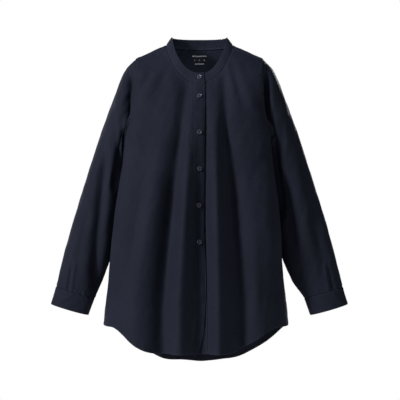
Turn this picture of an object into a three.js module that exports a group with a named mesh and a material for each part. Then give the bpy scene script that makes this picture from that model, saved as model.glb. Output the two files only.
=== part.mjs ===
// A long shirt with a stand collar, filled out as it is worn, with no wearer in it.
// Millimetres, +Z up; the front faces -Y, and +X is the wearer's left.
// The origin is the middle of the neck opening, level with the shoulders beside the neck.
// Each cut piece of cloth is its own thin wall: two fronts, a back, sleeves, cuffs, collar and button bands.
import * as THREE from "three";

// Cloth and seams
const CLOTH = 1.4; // wall of a single cloth
const DOUBLE = 2.0; // collar, cuffs and button bands: two cloths and what stiffens them
const BAND_RISE = DOUBLE - CLOTH; // a band stands this far proud of its front
const SEAM = 0.36; // between a piece and the one it is sewn to
const COLLAR_SEAM = 0.6; // the same along the collar, whose facets differ from the body's
const SLEEVE_SEAM = 0.7; // the same round the armhole, where the sleeve's wall turns away from the body's
const LAP_GAP = 0.5; // between two layers that are buttoned together
const LAP_INSET = CLOTH + LAP_GAP + BAND_RISE; // the under front lies this far behind the upper one

// Rings round the body, from the hem (0) to the neck seam (1). half: half the width, shift: sideways,
// front and back: depths from the side seams, side, cf and cb: heights at the sides, front and back.
const BODY_RINGS = [
  { at: 0.0, half: 222, shift: -8, front: 122, back: 120, side: -670, cf: -728, cb: -772 },
  { at: 0.12, half: 220, shift: -8, front: 121, back: 119, side: -632, cf: -672, cb: -700 },
  { at: 0.24, half: 217, shift: -8, front: 119, back: 116, side: -588, cf: -604, cb: -612 },
  { at: 0.34, half: 212, shift: -8, front: 117, back: 112, side: -530, cf: -532, cb: -532 },
  { at: 0.5, half: 194, shift: -5, front: 114, back: 106, side: -385, cf: -385, cb: -385 },
  { at: 0.64, half: 174, shift: -4, front: 112, back: 107, side: -252, cf: -252, cb: -252 },
  { at: 0.72, half: 172, shift: -3, front: 109, back: 107, side: -178, cf: -217, cb: -205 },
  { at: 0.8, half: 168, shift: -2, front: 103, back: 104, side: -98, cf: -184, cb: -157 },
  { at: 0.85, half: 162, shift: -1, front: 96, back: 99, side: -54, cf: -164, cb: -122 },
  { at: 0.88, half: 153, shift: 0, front: 91, back: 95, side: -35, cf: -152, cb: -98 },
  { at: 0.92, half: 131, shift: 0, front: 82, back: 87, side: -23.5, cf: -132, cb: -64 },
  { at: 0.96, half: 106, shift: 0, front: 72, back: 76, side: -12, cf: -113, cb: -31 },
  { at: 1.0, half: 79.7, shift: 0, front: 62, back: 63, side: 0, cf: -94, cb: -3 },
];
const ROUND = 0.87; // 1 is an ellipse, and less is fuller at the corners
const SHOULDER_ROUND = 1.5; // how softly the cloth rolls over the shoulder ridge
// Degrees from the centre where the hem's curve starts and ends, on the wearer's right and left
const HEM_TURN = {
  front: { right: { high: 62, low: 20 }, left: { high: 58, low: 14 } },
  back: { right: { high: 74, low: 8 }, left: { high: 88, low: 8 } },
};

// The armhole in the body's own angle and ring: an oval, from under the arm to the shoulder point
const ARMHOLE = { low: 0.64, high: 0.88, seam: 90, shoulder: 82, front: 26, back: 32, steps: 12 };
const NECK_SEAM_ANGLE = 78; // the shoulder seam lies a little forward of the ridge

// Folds down the front and the back. x at the hem, waist and chest, and where each starts;
// out: how far it stands out (or in, below 0) at the hem, wide: half its width.
const LEVELS = { hem: -610, waist: -372, chest: -210 };
const FRONT_FOLDS = [
  { hem: -190, waist: -160, chest: -135, top: -190, out: 3, wide: 26 },
  { hem: -140, waist: -103, chest: -80, top: -150, out: 10, wide: 26 },
  { hem: -88, waist: -57, chest: -38, top: -100, out: -23, wide: 22 },
  { hem: -48, waist: -34, chest: -28, top: -110, out: 17, wide: 14 },
  { hem: 5, waist: 8, chest: 8, top: -90, out: -9, wide: 15 },
  { hem: 46, waist: 40, chest: 36, top: -90, out: 11, wide: 17 },
  { hem: 110, waist: 88, chest: 66, top: -60, out: -26, wide: 24 },
  { hem: 170, waist: 150, chest: 128, top: -150, out: 13, wide: 24 },
];
const BACK_FOLDS = [
  { hem: -150, waist: -128, chest: -104, top: -170, out: 8, wide: 26 },
  { hem: -98, waist: -80, chest: -60, top: -130, out: -21, wide: 23 },
  { hem: -50, waist: -38, chest: -30, top: -150, out: 10, wide: 18 },
  { hem: 4, waist: 2, chest: 0, top: -180, out: -18, wide: 22 },
  { hem: 58, waist: 44, chest: 34, top: -150, out: 12, wide: 18 },
  { hem: 112, waist: 90, chest: 70, top: -120, out: -20, wide: 24 },
  { hem: 160, waist: 138, chest: 112, top: -170, out: 8, wide: 26 },
];
const FOLD_GROWTH = 330; // a fold reaches its full depth this far below its start
const FOLD_FADE = 0.5; // the folds die out towards the sides by this power of the cosine

// The sides fall in a fold each: a ridge in front of the arm, a hollow where the arm hangs, a ridge behind
const SIDE_FOLDS = [
  { angle: 64, out: 7, wide: 11 },
  { angle: 92, out: -17, wide: 17 },
  { angle: 122, out: 6, wide: 12 },
];
const SIDE_FOLD_REACH = [
  { z: -700, share: 0.0 },
  { z: -600, share: 0.25 },
  { z: -500, share: 0.75 },
  { z: -400, share: 1.0 },
  { z: -320, share: 0.85 },
  { z: -252, share: 0.35 },
  { z: -190, share: 0.08 },
  { z: -120, share: 0.0 },
];

// Rings down a sleeve, as seen from the front: outer and inner edge, depth each way and how far back it hangs
const SLEEVE_RINGS = [
  { at: 0.0, outerX: 153, outerZ: -35, innerX: 168, innerZ: -252, depth: 52, back: 5 },
  { at: 0.05, outerX: 176, outerZ: -59, innerX: 172, innerZ: -259, depth: 52, back: 5 },
  { at: 0.11, outerX: 191, outerZ: -88, innerX: 175, innerZ: -270, depth: 54, back: 6 },
  { at: 0.19, outerX: 208, outerZ: -135, innerX: 177, innerZ: -290, depth: 57, back: 6 },
  { at: 0.3, outerX: 231, outerZ: -199, innerX: 179, innerZ: -322, depth: 57, back: 6 },
  { at: 0.42, outerX: 255, outerZ: -271, innerX: 184, innerZ: -362, depth: 55, back: 6 },
  { at: 0.58, outerX: 287, outerZ: -371, innerX: 196, innerZ: -430, depth: 51, back: 6 },
  { at: 0.74, outerX: 314, outerZ: -462, innerX: 212, innerZ: -500, depth: 44, back: 5 },
  { at: 0.88, outerX: 332, outerZ: -530, innerX: 232, innerZ: -562, depth: 35, back: 4 },
  { at: 1.0, outerX: 344, outerZ: -580, innerX: 252, innerZ: -607, depth: 28, back: 4 },
];
const LEFT_TUCK = { by: 10, at: 0.33, wide: 0.3 }; // the wearer's left sleeve hangs closer to the body
const SLEEVE_STEPS = 20;
const SLEEVE_SPACING = 1.2; // the rings are closer together near the armhole
const CAP_REACH = 0.26; // the armhole's own shape fades out by this far down the sleeve

// Creases on the sleeves, along lines seen from the front or the back: ends in x and z, for the wearer's right
// sleeve (which lies at -x); out: height or depth, wide: half the width
const TURN_UNDER = { none: 0.7, full: 0.2 }; // how far the sleeve's cloth faces the body's way, as a cosine
const CREASE_START = 0.15; // share of the sleeve by which its creases have their full depth
const RIGHT_SLEEVE_CREASES = [
  { face: "front", x0: -170, z0: -76, x1: -176, z1: -235, out: -10, wide: 12 },
  { face: "front", x0: -203, z0: -190, x1: -205, z1: -330, out: 4, wide: 15 },
  { face: "front", x0: -232, z0: -300, x1: -252, z1: -560, out: -9, wide: 12 },
  { face: "front", x0: -200, z0: -330, x1: -238, z1: -520, out: 4, wide: 11 },
  { face: "back", x0: -182, z0: -110, x1: -196, z1: -290, out: -7, wide: 14 },
  { face: "back", x0: -248, z0: -270, x1: -290, z1: -540, out: -8, wide: 14 },
];
const LEFT_SLEEVE_CREASES = [
  { face: "front", x0: 160, z0: -70, x1: 172, z1: -240, out: -12, wide: 12 },
  { face: "front", x0: 170, z0: -215, x1: 192, z1: -410, out: -10, wide: 12 },
  { face: "front", x0: 200, z0: -330, x1: 226, z1: -480, out: -7, wide: 13 },
  { face: "front", x0: 252, z0: -300, x1: 300, z1: -540, out: -4, wide: 12 },
  { face: "front", x0: 228, z0: -300, x1: 262, z1: -500, out: 3, wide: 15 },
  { face: "back", x0: 180, z0: -120, x1: 200, z1: -300, out: -7, wide: 14 },
  { face: "back", x0: 246, z0: -250, x1: 286, z1: -520, out: -8, wide: 14 },
];

// Cuffs: a strip round the wrist whose ends lap at the back
const CUFF = { height: 41, back: 4, underEnd: 262, lap: 31, ramp: 28, steps: 30 };
const CUFF_EDGE = { outerX: 356, outerZ: -622, innerX: 267, innerZ: -648, depth: 24 };
const CUFF_BUTTON_ANGLE = 279;

// Collar: leans in towards the neck; its ends lap at the front
const COLLAR_TOP = { half: 66, front: 53, back: 54, side: 18.5, cf: -72, cb: 19.5 };
const COLLAR_LAP = 12; // each end passes the centre front by this much
const COLLAR_STEPS = 46;

// Button bands: half their width, and the line that the middle of each follows down the front
const BAND_HALF = 13.3;
const UPPER_BAND_LINE = [
  { z: -772, x: -20 },
  { z: -728, x: -15 },
  { z: -684, x: -4 },
  { z: -631, x: 1 },
  { z: -564, x: 3 },
  { z: -500, x: 1 },
  { z: -440, x: -2 },
  { z: -372, x: -2 },
  { z: -300, x: -0.5 },
  { z: 0, x: -0.5 },
];
const UNDER_BAND_LINE = [
  { z: -772, x: 4 },
  { z: -640, x: 4 },
  { z: -500, x: 1 },
  { z: -372, x: 0 },
  { z: 0, x: 0 },
];
const LAP_FADE = { from: 22, to: 54 }; // where the under front comes out to the body's own surface

// Buttons
const BUTTON = { radius: 5.7, thick: 2.5, rim: 1.1, well: 0.7, chamfer: 0.5, sides: 12 };
const BUTTON_LIFT = 0.5;
const FIRST_BUTTON_Z = -129;
const BUTTON_PITCH = 85;
const BAND_BUTTONS = 5;

// How finely the cloth is divided
const LOWER_ROWS = [0, 0.03, 0.065, 0.105, 0.15, 0.205, 0.27, 0.34, 0.42, 0.5, 0.57, 0.61];
const UPPER_ROWS = [0.92, 0.96, 1];
const FRONT_STEPS = 17;
const BACK_STEPS = 28;
const BAND_STEPS = 6;

const DEGREE = Math.PI / 180;
const clamp01 = (t) => Math.min(1, Math.max(0, t));
const lerp = (a, b, t) => a + (b - a) * t;
const smooth = (from, to, value) => {
  const t = clamp01((value - from) / (to - from));
  return t * t * (3 - 2 * t);
};
const bell = (distance, wide) => Math.exp(-((distance / wide) ** 2));
const signedPower = (value, power) => Math.sign(value) * Math.abs(value) ** power;

// A value of one column of a table at a key, along a smooth line that never overshoots its rows
function column(rows, key, name, at) {
  const last = rows.length - 1;
  if (at <= rows[0][key]) return rows[0][name];
  if (at >= rows[last][key]) return rows[last][name];
  let i = 0;
  while (at > rows[i + 1][key]) i += 1;
  const run = (k) => rows[k + 1][key] - rows[k][key];
  const slope = (k) => (rows[k + 1][name] - rows[k][name]) / run(k);
  const tangent = (k) => {
    if (k === 0) return slope(0);
    if (k === last) return slope(last - 1);
    const before = slope(k - 1);
    const after = slope(k);
    return before * after <= 0 ? 0 : (2 * before * after) / (before + after);
  };
  const width = run(i);
  const t = (at - rows[i][key]) / width;
  const t2 = t * t;
  const t3 = t2 * t;
  return (
    (2 * t3 - 3 * t2 + 1) * rows[i][name] +
    (t3 - 2 * t2 + t) * width * tangent(i) +
    (3 * t2 - 2 * t3) * rows[i + 1][name] +
    (t3 - t2) * width * tangent(i + 1)
  );
}

// The plain surface of the body, with no folds: angle in degrees from the centre front, positive to +X
function plainBody(angle, at) {
  const ring = (name) => column(BODY_RINGS, "at", name, at);
  const sine = Math.sin(angle * DEGREE);
  const cosine = Math.cos(angle * DEGREE);
  const inFront = cosine > 0;
  const fromCentre = Math.acos(Math.min(1, Math.abs(cosine))) / DEGREE;
  const hemTurn = HEM_TURN[inFront ? "front" : "back"][sine < 0 ? "right" : "left"];
  const hemShare = smooth(hemTurn.high, hemTurn.low, fromCentre);
  const ridgeShare = Math.abs(cosine) ** SHOULDER_ROUND;
  const share = at < ARMHOLE.low ? hemShare : ridgeShare;
  const side = ring("side");
  return new THREE.Vector3(
    ring("shift") + ring("half") * signedPower(sine, ROUND),
    (inFront ? -ring("front") : ring("back")) * Math.abs(cosine) ** ROUND,
    side + (ring(inFront ? "cf" : "cb") - side) * share,
  );
}

const STEP = { angle: 0.6, at: 0.004 };
function normalOf(surface, angle, at) {
  const low = Math.max(0, at - STEP.at);
  const high = Math.min(1, at + STEP.at);
  const across = surface(angle + STEP.angle, at).sub(surface(angle - STEP.angle, at));
  const up = surface(angle, high).sub(surface(angle, low));
  return across.cross(up).normalize();
}

// How far the folds move the cloth out at a point of the plain surface
function foldDepth(angle, point) {
  const table = Math.cos(angle * DEGREE) > 0 ? FRONT_FOLDS : BACK_FOLDS;
  const inCentre = Math.abs(Math.cos(angle * DEGREE)) ** FOLD_FADE;
  let out = 0;
  for (const fold of table) {
    const line = [
      { z: LEVELS.hem, x: fold.hem },
      { z: LEVELS.waist, x: fold.waist },
      { z: LEVELS.chest, x: fold.chest },
    ];
    const share = smooth(fold.top, fold.top - FOLD_GROWTH, point.z);
    out += fold.out * share * inCentre * bell(point.x - column(line, "z", "x", point.z), fold.wide);
  }
  const reach = column(SIDE_FOLD_REACH, "z", "share", point.z);
  const turned = Math.abs(((angle + 540) % 360) - 180);
  for (const fold of SIDE_FOLDS) out += fold.out * reach * bell(turned - fold.angle, fold.wide);
  return out;
}

// The body's outer surface, with its folds
function body(angle, at) {
  const point = plainBody(angle, at);
  return point.addScaledVector(normalOf(plainBody, angle, at), foldDepth(angle, point));
}
const bodyNormal = (angle, at) => normalOf(body, angle, at);

// The angle at which a ring of the body passes a given x, on the front
function angleAtX(x, at) {
  const off = x - column(BODY_RINGS, "at", "shift", at);
  return Math.asin(signedPower(off / column(BODY_RINGS, "at", "half", at), 1 / ROUND)) / DEGREE;
}

// A closed thin wall on a grid of outer points. Rows run up and columns across; wrap joins the last column
// to the first; over is how far the outer face stands out of the points.
function wall(points, normals, thick, { wrap = false, over = 0, flip = false } = {}) {
  const rows = points.length;
  const columns = points[0].length;
  const vertices = [];
  const faces = [];
  const put = (depth) =>
    points.forEach((row, i) =>
      row.forEach((p, j) => vertices.push(p.clone().addScaledVector(normals[i][j], depth))),
    );
  put(over);
  put(over - thick);
  const layer = rows * columns;
  const outer = (i, j) => i * columns + (j % columns);
  const inner = (i, j) => layer + outer(i, j);
  const quad = (a, b, c, d) => faces.push(...(flip ? [a, c, b, a, d, c] : [a, b, c, a, c, d]));
  const across = wrap ? columns : columns - 1;
  for (let i = 0; i < rows - 1; i += 1) {
    for (let j = 0; j < across; j += 1) {
      quad(outer(i, j), outer(i, j + 1), outer(i + 1, j + 1), outer(i + 1, j));
      faces.push(
        ...(flip
          ? [inner(i, j), inner(i, j + 1), inner(i + 1, j + 1), inner(i, j), inner(i + 1, j + 1), inner(i + 1, j)]
          : [inner(i, j), inner(i + 1, j + 1), inner(i, j + 1), inner(i, j), inner(i + 1, j), inner(i + 1, j + 1)]),
      );
    }
  }
  for (let j = 0; j < across; j += 1) {
    quad(inner(0, j), inner(0, j + 1), outer(0, j + 1), outer(0, j));
    quad(outer(rows - 1, j), outer(rows - 1, j + 1), inner(rows - 1, j + 1), inner(rows - 1, j));
  }
  if (!wrap) {
    for (let i = 0; i < rows - 1; i += 1) {
      quad(inner(i, 0), outer(i, 0), outer(i + 1, 0), inner(i + 1, 0));
      quad(outer(i, columns - 1), inner(i, columns - 1), inner(i + 1, columns - 1), outer(i + 1, columns - 1));
    }
  }
  const geometry = new THREE.BufferGeometry().setFromPoints(vertices);
  geometry.setIndex(faces);
  geometry.computeVertexNormals();
  return geometry;
}

// The armhole's angle and ring at a step, from 0 under the arm to ARMHOLE.steps at the shoulder point
function armhole(step, face) {
  const turn = (step / ARMHOLE.steps) * Math.PI;
  const share = (1 - Math.cos(turn)) / 2;
  const swing = Math.sin(turn);
  const middle = lerp(ARMHOLE.seam, ARMHOLE.shoulder, share);
  return {
    angle: middle + (face === "front" ? -ARMHOLE.front : ARMHOLE.back) * swing,
    at: lerp(ARMHOLE.low, ARMHOLE.high, share),
  };
}

// The outer edge of a front or of the back, row by row: side seam, armhole, shoulder seam
function sideEdge(face) {
  const edge = LOWER_ROWS.map((at) => ({ at, angle: ARMHOLE.seam }));
  for (let step = 0; step <= ARMHOLE.steps; step += 1) edge.push(armhole(step, face));
  for (const at of UPPER_ROWS) {
    const share = (at - ARMHOLE.high) / (1 - ARMHOLE.high);
    edge.push({ at, angle: lerp(ARMHOLE.shoulder, NECK_SEAM_ANGLE, share) });
  }
  return edge;
}

// Moves the end points of each row towards their neighbours, to leave half a seam
function drawBack(points, ends) {
  for (const row of points) {
    const pairs = [
      [0, 1],
      [row.length - 1, row.length - 2],
    ];
    for (const end of ends) {
      const [at, next] = pairs[end];
      const inward = row[next].clone().sub(row[at]).normalize();
      row[at].addScaledVector(inward, SEAM / 2);
    }
  }
}

const lapInset = (x) => LAP_INSET * (1 - smooth(LAP_FADE.from, LAP_FADE.to, x));

// A front: side is -1 for the wearer's right, which laps over, and 1 for the left, which lies under it
function front(side) {
  const line = side < 0 ? UPPER_BAND_LINE : UNDER_BAND_LINE;
  const points = [];
  const normals = [];
  for (const { at, angle: outer } of sideEdge("front")) {
    const z = column(BODY_RINGS, "at", "cf", at);
    const inner = angleAtX(column(line, "z", "x", z) + side * (BAND_HALF + SEAM), at);
    const row = [];
    const rowNormals = [];
    for (let j = 0; j <= FRONT_STEPS; j += 1) {
      const share = j / FRONT_STEPS;
      const angle = lerp(inner, side * ARMHOLE.seam, share) + side * (outer - ARMHOLE.seam) * share ** 2;
      const normal = bodyNormal(angle, at);
      const point = body(angle, at);
      row.push(side < 0 ? point : point.addScaledVector(normal, -lapInset(point.x)));
      rowNormals.push(normal);
    }
    points.push(row);
    normals.push(rowNormals);
  }
  drawBack(points, [1]);
  return wall(points, normals, CLOTH, { flip: side < 0 });
}

function back() {
  const points = [];
  const normals = [];
  for (const { at, angle: edge } of sideEdge("back")) {
    const angles = Array.from({ length: BACK_STEPS + 1 }, (_, j) => {
      const share = (2 * j) / BACK_STEPS - 1;
      return 180 + (180 - ARMHOLE.seam) * share - (edge - ARMHOLE.seam) * share * Math.abs(share);
    });
    points.push(angles.map((angle) => body(angle, at)));
    normals.push(angles.map((angle) => bodyNormal(angle, at)));
  }
  drawBack(points, [0, 1]);
  return wall(points, normals, CLOTH);
}

// A button band, on the line of its front: upper stands proud of the front, under lies behind it
function band(line, inset) {
  const points = [];
  const normals = [];
  for (const { at } of sideEdge("front")) {
    const middle = column(line, "z", "x", column(BODY_RINGS, "at", "cf", at));
    const row = [];
    const rowNormals = [];
    for (let j = 0; j <= BAND_STEPS; j += 1) {
      const angle = angleAtX(middle + BAND_HALF * (2 * (j / BAND_STEPS) - 1), at);
      const normal = bodyNormal(angle, at);
      row.push(body(angle, at).addScaledVector(normal, -inset));
      rowNormals.push(normal);
    }
    points.push(row);
    normals.push(rowNormals);
  }
  return wall(points, normals, DOUBLE, { over: BAND_RISE });
}

// Outward normals of a closed grid of rings, worked out from neighbouring points
function ringNormals(rings, side, wrap = true) {
  const count = rings[0].length;
  const last = rings.length - 1;
  return rings.map((ring, i) =>
    ring.map((_, j) => {
      const before = wrap ? (j + count - 1) % count : Math.max(0, j - 1);
      const after = wrap ? (j + 1) % count : Math.min(count - 1, j + 1);
      const round = ring[after].clone().sub(ring[before]);
      const down = rings[Math.min(last, i + 1)][j].clone().sub(rings[Math.max(0, i - 1)][j]);
      return round.cross(down).normalize().multiplyScalar(side);
    }),
  );
}

// A point of a ring given by its edges as seen from the front; turn 0 is the outer edge, 90 the front
function ringPoint(side, ring, turn) {
  const sine = Math.sin(turn * DEGREE);
  const share = (1 + Math.cos(turn * DEGREE)) / 2;
  return new THREE.Vector3(
    side * lerp(ring.innerX, ring.outerX, share),
    ring.back - ring.depth * sine,
    lerp(ring.innerZ, ring.outerZ, share),
  );
}
function sleeveRing(side, at) {
  const value = (name) => column(SLEEVE_RINGS, "at", name, at);
  const tuck = side > 0 ? LEFT_TUCK.by * bell(at - LEFT_TUCK.at, LEFT_TUCK.wide) : 0;
  return {
    outerX: value("outerX"),
    outerZ: value("outerZ"),
    innerX: value("innerX") - tuck,
    innerZ: value("innerZ"),
    depth: value("depth"),
    back: value("back"),
  };
}

// How far the creases move a sleeve out at a point, by its place as seen from the front
function creaseDepth(creases, point, normal) {
  let out = 0;
  for (const crease of creases) {
    const facing = crease.face === "front" ? -normal.y : normal.y;
    const alongX = crease.x1 - crease.x0;
    const alongZ = crease.z1 - crease.z0;
    const length = Math.hypot(alongX, alongZ);
    const offX = point.x - crease.x0;
    const offZ = point.z - crease.z0;
    const along = (offX * alongX + offZ * alongZ) / (length * length);
    const aside = (offX * alongZ - offZ * alongX) / length;
    const ends = smooth(-0.15, 0.2, along) * smooth(1.15, 0.8, along);
    out += crease.out * ends * bell(aside, crease.wide) * smooth(0, 0.6, facing);
  }
  return out;
}

// The armhole's seam on the body, with the normals of the cloth there: from the shoulder point down the
// front, under the arm and up the back
function armholeLoop(side) {
  const places = [];
  for (let step = ARMHOLE.steps; step >= 0; step -= 1) places.push(armhole(step, "front"));
  for (let step = 1; step < ARMHOLE.steps; step += 1) places.push(armhole(step, "back"));
  return places.map(({ angle, at }) => ({
    point: body(side * angle, at),
    normal: bodyNormal(side * angle, at),
  }));
}

// The first ring of a sleeve: the armhole's seam, moved off the body's cloth by a seam's gap
function sleeveStart(side) {
  const loop = armholeLoop(side);
  const count = loop.length;
  const centre = loop.reduce((sum, { point }) => sum.add(point), new THREE.Vector3()).divideScalar(count);
  return loop.map(({ point, normal }, i) => {
    const along = loop[(i + 1) % count].point.clone().sub(loop[(i + count - 1) % count].point);
    const off = along.cross(normal).normalize();
    if (off.dot(centre.clone().sub(point)) < 0) off.negate();
    return { point: point.clone().addScaledVector(off, SLEEVE_SEAM), normal };
  });
}

function sleeve(side, creases) {
  const start = sleeveStart(side);
  const count = start.length;
  const turn = (j) => (360 * j) / count;
  const top = sleeveRing(side, 0);
  const bend = start.map(({ point }, j) => point.clone().sub(ringPoint(side, top, turn(j))));
  const rings = [];
  for (let i = 0; i <= SLEEVE_STEPS; i += 1) {
    const at = (i / SLEEVE_STEPS) ** SLEEVE_SPACING;
    const share = smooth(CAP_REACH, 0, at);
    const ring = sleeveRing(side, at);
    rings.push(bend.map((offset, j) => ringPoint(side, ring, turn(j)).addScaledVector(offset, share)));
  }
  const plain = ringNormals(rings, side);
  const creased = rings.map((ring, i) =>
    ring.map((point, j) => {
      const fade = smooth(0, CREASE_START, i / SLEEVE_STEPS);
      return point.clone().addScaledVector(plain[i][j], fade * creaseDepth(creases, point, plain[i][j]));
    }),
  );
  const normals = ringNormals(creased, side);
  // Under the arm the sleeve's cloth faces the body, and there its first ring keeps the sleeve's own direction
  normals[0] = start.map(({ normal }, j) => {
    const own = smooth(TURN_UNDER.none, TURN_UNDER.full, normal.dot(normals[0][j]));
    return normal.clone().lerp(normals[0][j], own).normalize();
  });
  return wall(creased, normals, CLOTH, { wrap: true, flip: side < 0 });
}

// The cuff's rings run from its seam with the sleeve to its edge, and its strip from the under end round
// the front to the upper end
function cuffPlace(side, share, angle) {
  const top = SLEEVE_RINGS[SLEEVE_RINGS.length - 1];
  const drop = new THREE.Vector2(
    (CUFF_EDGE.outerX + CUFF_EDGE.innerX - top.outerX - top.innerX) / 2,
    (CUFF_EDGE.outerZ + CUFF_EDGE.innerZ - top.outerZ - top.innerZ) / 2,
  );
  const begin = SEAM / drop.length();
  const along = lerp(begin, 1, share);
  const ring = { back: CUFF.back };
  for (const name of ["outerX", "outerZ", "innerX", "innerZ", "depth"]) {
    ring[name] = lerp(top[name], CUFF_EDGE[name], along);
  }
  const outward = (turn) => {
    const round = ringPoint(side, ring, turn + 1).sub(ringPoint(side, ring, turn - 1));
    return round.cross(new THREE.Vector3(side * drop.x, 0, drop.y)).normalize().multiplyScalar(side);
  };
  const lift = smooth(CUFF.underEnd + 360 - CUFF.ramp, CUFF.underEnd + 360, angle) * (DOUBLE + LAP_GAP);
  const normal = outward(angle);
  return { point: ringPoint(side, ring, angle).addScaledVector(normal, lift), normal };
}

function cuff(side) {
  const shares = [0, 0.5, 1];
  const angles = Array.from({ length: CUFF.steps + 1 }, (_, j) =>
    lerp(CUFF.underEnd, CUFF.underEnd + 360 + CUFF.lap, j / CUFF.steps),
  );
  const places = shares.map((share) => angles.map((angle) => cuffPlace(side, share, angle)));
  const points = places.map((row) => row.map(({ point }) => point));
  const normals = places.map((row) => row.map(({ normal }) => normal));
  return wall(points, normals, DOUBLE, { flip: side < 0, over: BAND_RISE });
}

// A point of the collar: around in degrees from the centre front by the wearer's right, up from 0 to 1
function collarPlace(around, up) {
  const angle = -around;
  const sine = Math.sin(angle * DEGREE);
  const cosine = Math.cos(angle * DEGREE);
  const base = body(angle, 1);
  const height = COLLAR_TOP.side + ((cosine > 0 ? COLLAR_TOP.cf : COLLAR_TOP.cb) - COLLAR_TOP.side) *
    Math.abs(cosine) ** SHOULDER_ROUND;
  const top = new THREE.Vector3(
    COLLAR_TOP.half * signedPower(sine, ROUND),
    (cosine > 0 ? -COLLAR_TOP.front : COLLAR_TOP.back) * Math.abs(cosine) ** ROUND,
    height,
  );
  const rise = top.clone().sub(base);
  const begin = COLLAR_SEAM / rise.length();
  return base.addScaledVector(rise, lerp(begin, 1, up));
}

function collarNormal(around, up) {
  const round = collarPlace(around + 1, up).sub(collarPlace(around - 1, up));
  const rise = collarPlace(around, 1).sub(collarPlace(around, 0));
  return rise.cross(round).normalize();
}

function collar() {
  const lapAngle = angleAtX(COLLAR_LAP, 1);
  const shares = [0, 0.5, 1];
  const arounds = Array.from({ length: COLLAR_STEPS + 1 }, (_, j) =>
    lerp(-lapAngle, 360 + lapAngle, j / COLLAR_STEPS),
  );
  const normals = shares.map((up) => arounds.map((around) => collarNormal(around, up)));
  const points = shares.map((up, i) =>
    arounds.map((around, j) => {
      const point = collarPlace(around, up);
      const inset = around > 270 ? lapInset(point.x) : 0;
      return point.addScaledVector(normals[i][j], -inset);
    }),
  );
  return wall(points, normals, DOUBLE, { flip: true });
}

// A round button with a raised rim and a shallow well, lying on its back at z = 0
function buttonGeometry() {
  const { radius, thick, rim, well, chamfer } = BUTTON;
  const profile = [
    [0, 0],
    [radius - chamfer, 0],
    [radius, chamfer],
    [radius, thick - chamfer],
    [radius - chamfer, thick],
    [radius - rim, thick],
    [radius - rim - well, thick - well],
    [0, thick - well],
  ];
  const lathe = new THREE.LatheGeometry(
    profile.map(([r, h]) => new THREE.Vector2(r, h)),
    BUTTON.sides,
  );
  return lathe.rotateX(Math.PI / 2);
}

// Cloth and button colours
const cloth = new THREE.MeshStandardMaterial({ color: 0x1e2332, roughness: 0.9, metalness: 0 });
const horn = new THREE.MeshStandardMaterial({ color: 0x3b3f48, roughness: 0.35, metalness: 0 });

const shirt = new THREE.Group();
shirt.name = "mandarin_collar_shirt";

function add(name, geometry, material) {
  const mesh = new THREE.Mesh(geometry, material);
  mesh.name = name;
  shirt.add(mesh);
  return mesh;
}

// A button lies flat on the cloth of a surface, over the four points that its rim would touch
function addButton(name, surface, across, up, rim, cover, seat = BAND_RISE) {
  const centre = surface(across, up);
  const [left, right] = [surface(across - rim.across, up), surface(across + rim.across, up)];
  const [low, high] = [surface(across, up - rim.up), surface(across, up + rim.up)];
  const normal = right.clone().sub(left).cross(high.clone().sub(low)).normalize();
  if (normal.dot(cover) < 0) normal.negate();
  const heights = [left, right, low, high].map((p) => p.clone().sub(centre).dot(normal));
  const lift = seat + BUTTON_LIFT + Math.max(0, ...heights);
  const mesh = add(name, buttonGeometry(), horn);
  mesh.position.copy(centre).addScaledVector(normal, lift);
  mesh.quaternion.setFromUnitVectors(new THREE.Vector3(0, 0, 1), normal);
}

// The ring of the body at which the middle of the front has a given height
function ringAtFrontHeight(z) {
  let low = 0;
  let high = 1;
  for (let i = 0; i < 40; i += 1) {
    const middle = (low + high) / 2;
    if (column(BODY_RINGS, "at", "cf", middle) < z) low = middle;
    else high = middle;
  }
  return (low + high) / 2;
}

add("front_right", front(-1), cloth);
add("front_left", front(1), cloth);
add("back", back(), cloth);
add("band_upper", band(UPPER_BAND_LINE, 0), cloth);
add("band_under", band(UNDER_BAND_LINE, LAP_INSET), cloth);
add("collar", collar(), cloth);
add("sleeve_right", sleeve(-1, RIGHT_SLEEVE_CREASES), cloth);
add("sleeve_left", sleeve(1, LEFT_SLEEVE_CREASES), cloth);
add("cuff_right", cuff(-1), cloth);
add("cuff_left", cuff(1), cloth);

// How far a button's rim lies from its middle, in each surface's own measures
const RIM_ON = {
  collar: { across: 3, up: 0.2 },
  front: { across: BUTTON.radius, up: 0.006 },
  cuff: { across: 8, up: 0.14 },
};
const frontByX = (x, at) => body(angleAtX(x, at), at);
const FORWARD = new THREE.Vector3(0, -1, 0);
const BACKWARD = new THREE.Vector3(0, 1, 0);
addButton("button_collar", collarPlace, 0, 0.5, RIM_ON.collar, FORWARD, 0);
for (let i = 0; i < BAND_BUTTONS; i += 1) {
  const z = FIRST_BUTTON_Z - i * BUTTON_PITCH;
  const x = column(UPPER_BAND_LINE, "z", "x", z);
  addButton("button_" + (i + 1), frontByX, x, ringAtFrontHeight(z), RIM_ON.front, FORWARD);
}
for (const [name, side] of [["cuff_button_right", -1], ["cuff_button_left", 1]]) {
  const surface = (angle, share) => cuffPlace(side, share, angle).point;
  addButton(name, surface, CUFF_BUTTON_ANGLE + 360, 0.5, RIM_ON.cuff, BACKWARD);
}

export default shirt;
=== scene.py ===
import math

import bmesh
import bpy
import numpy as np
from mathutils import Matrix, Vector
from mathutils.kdtree import KDTree


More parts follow.
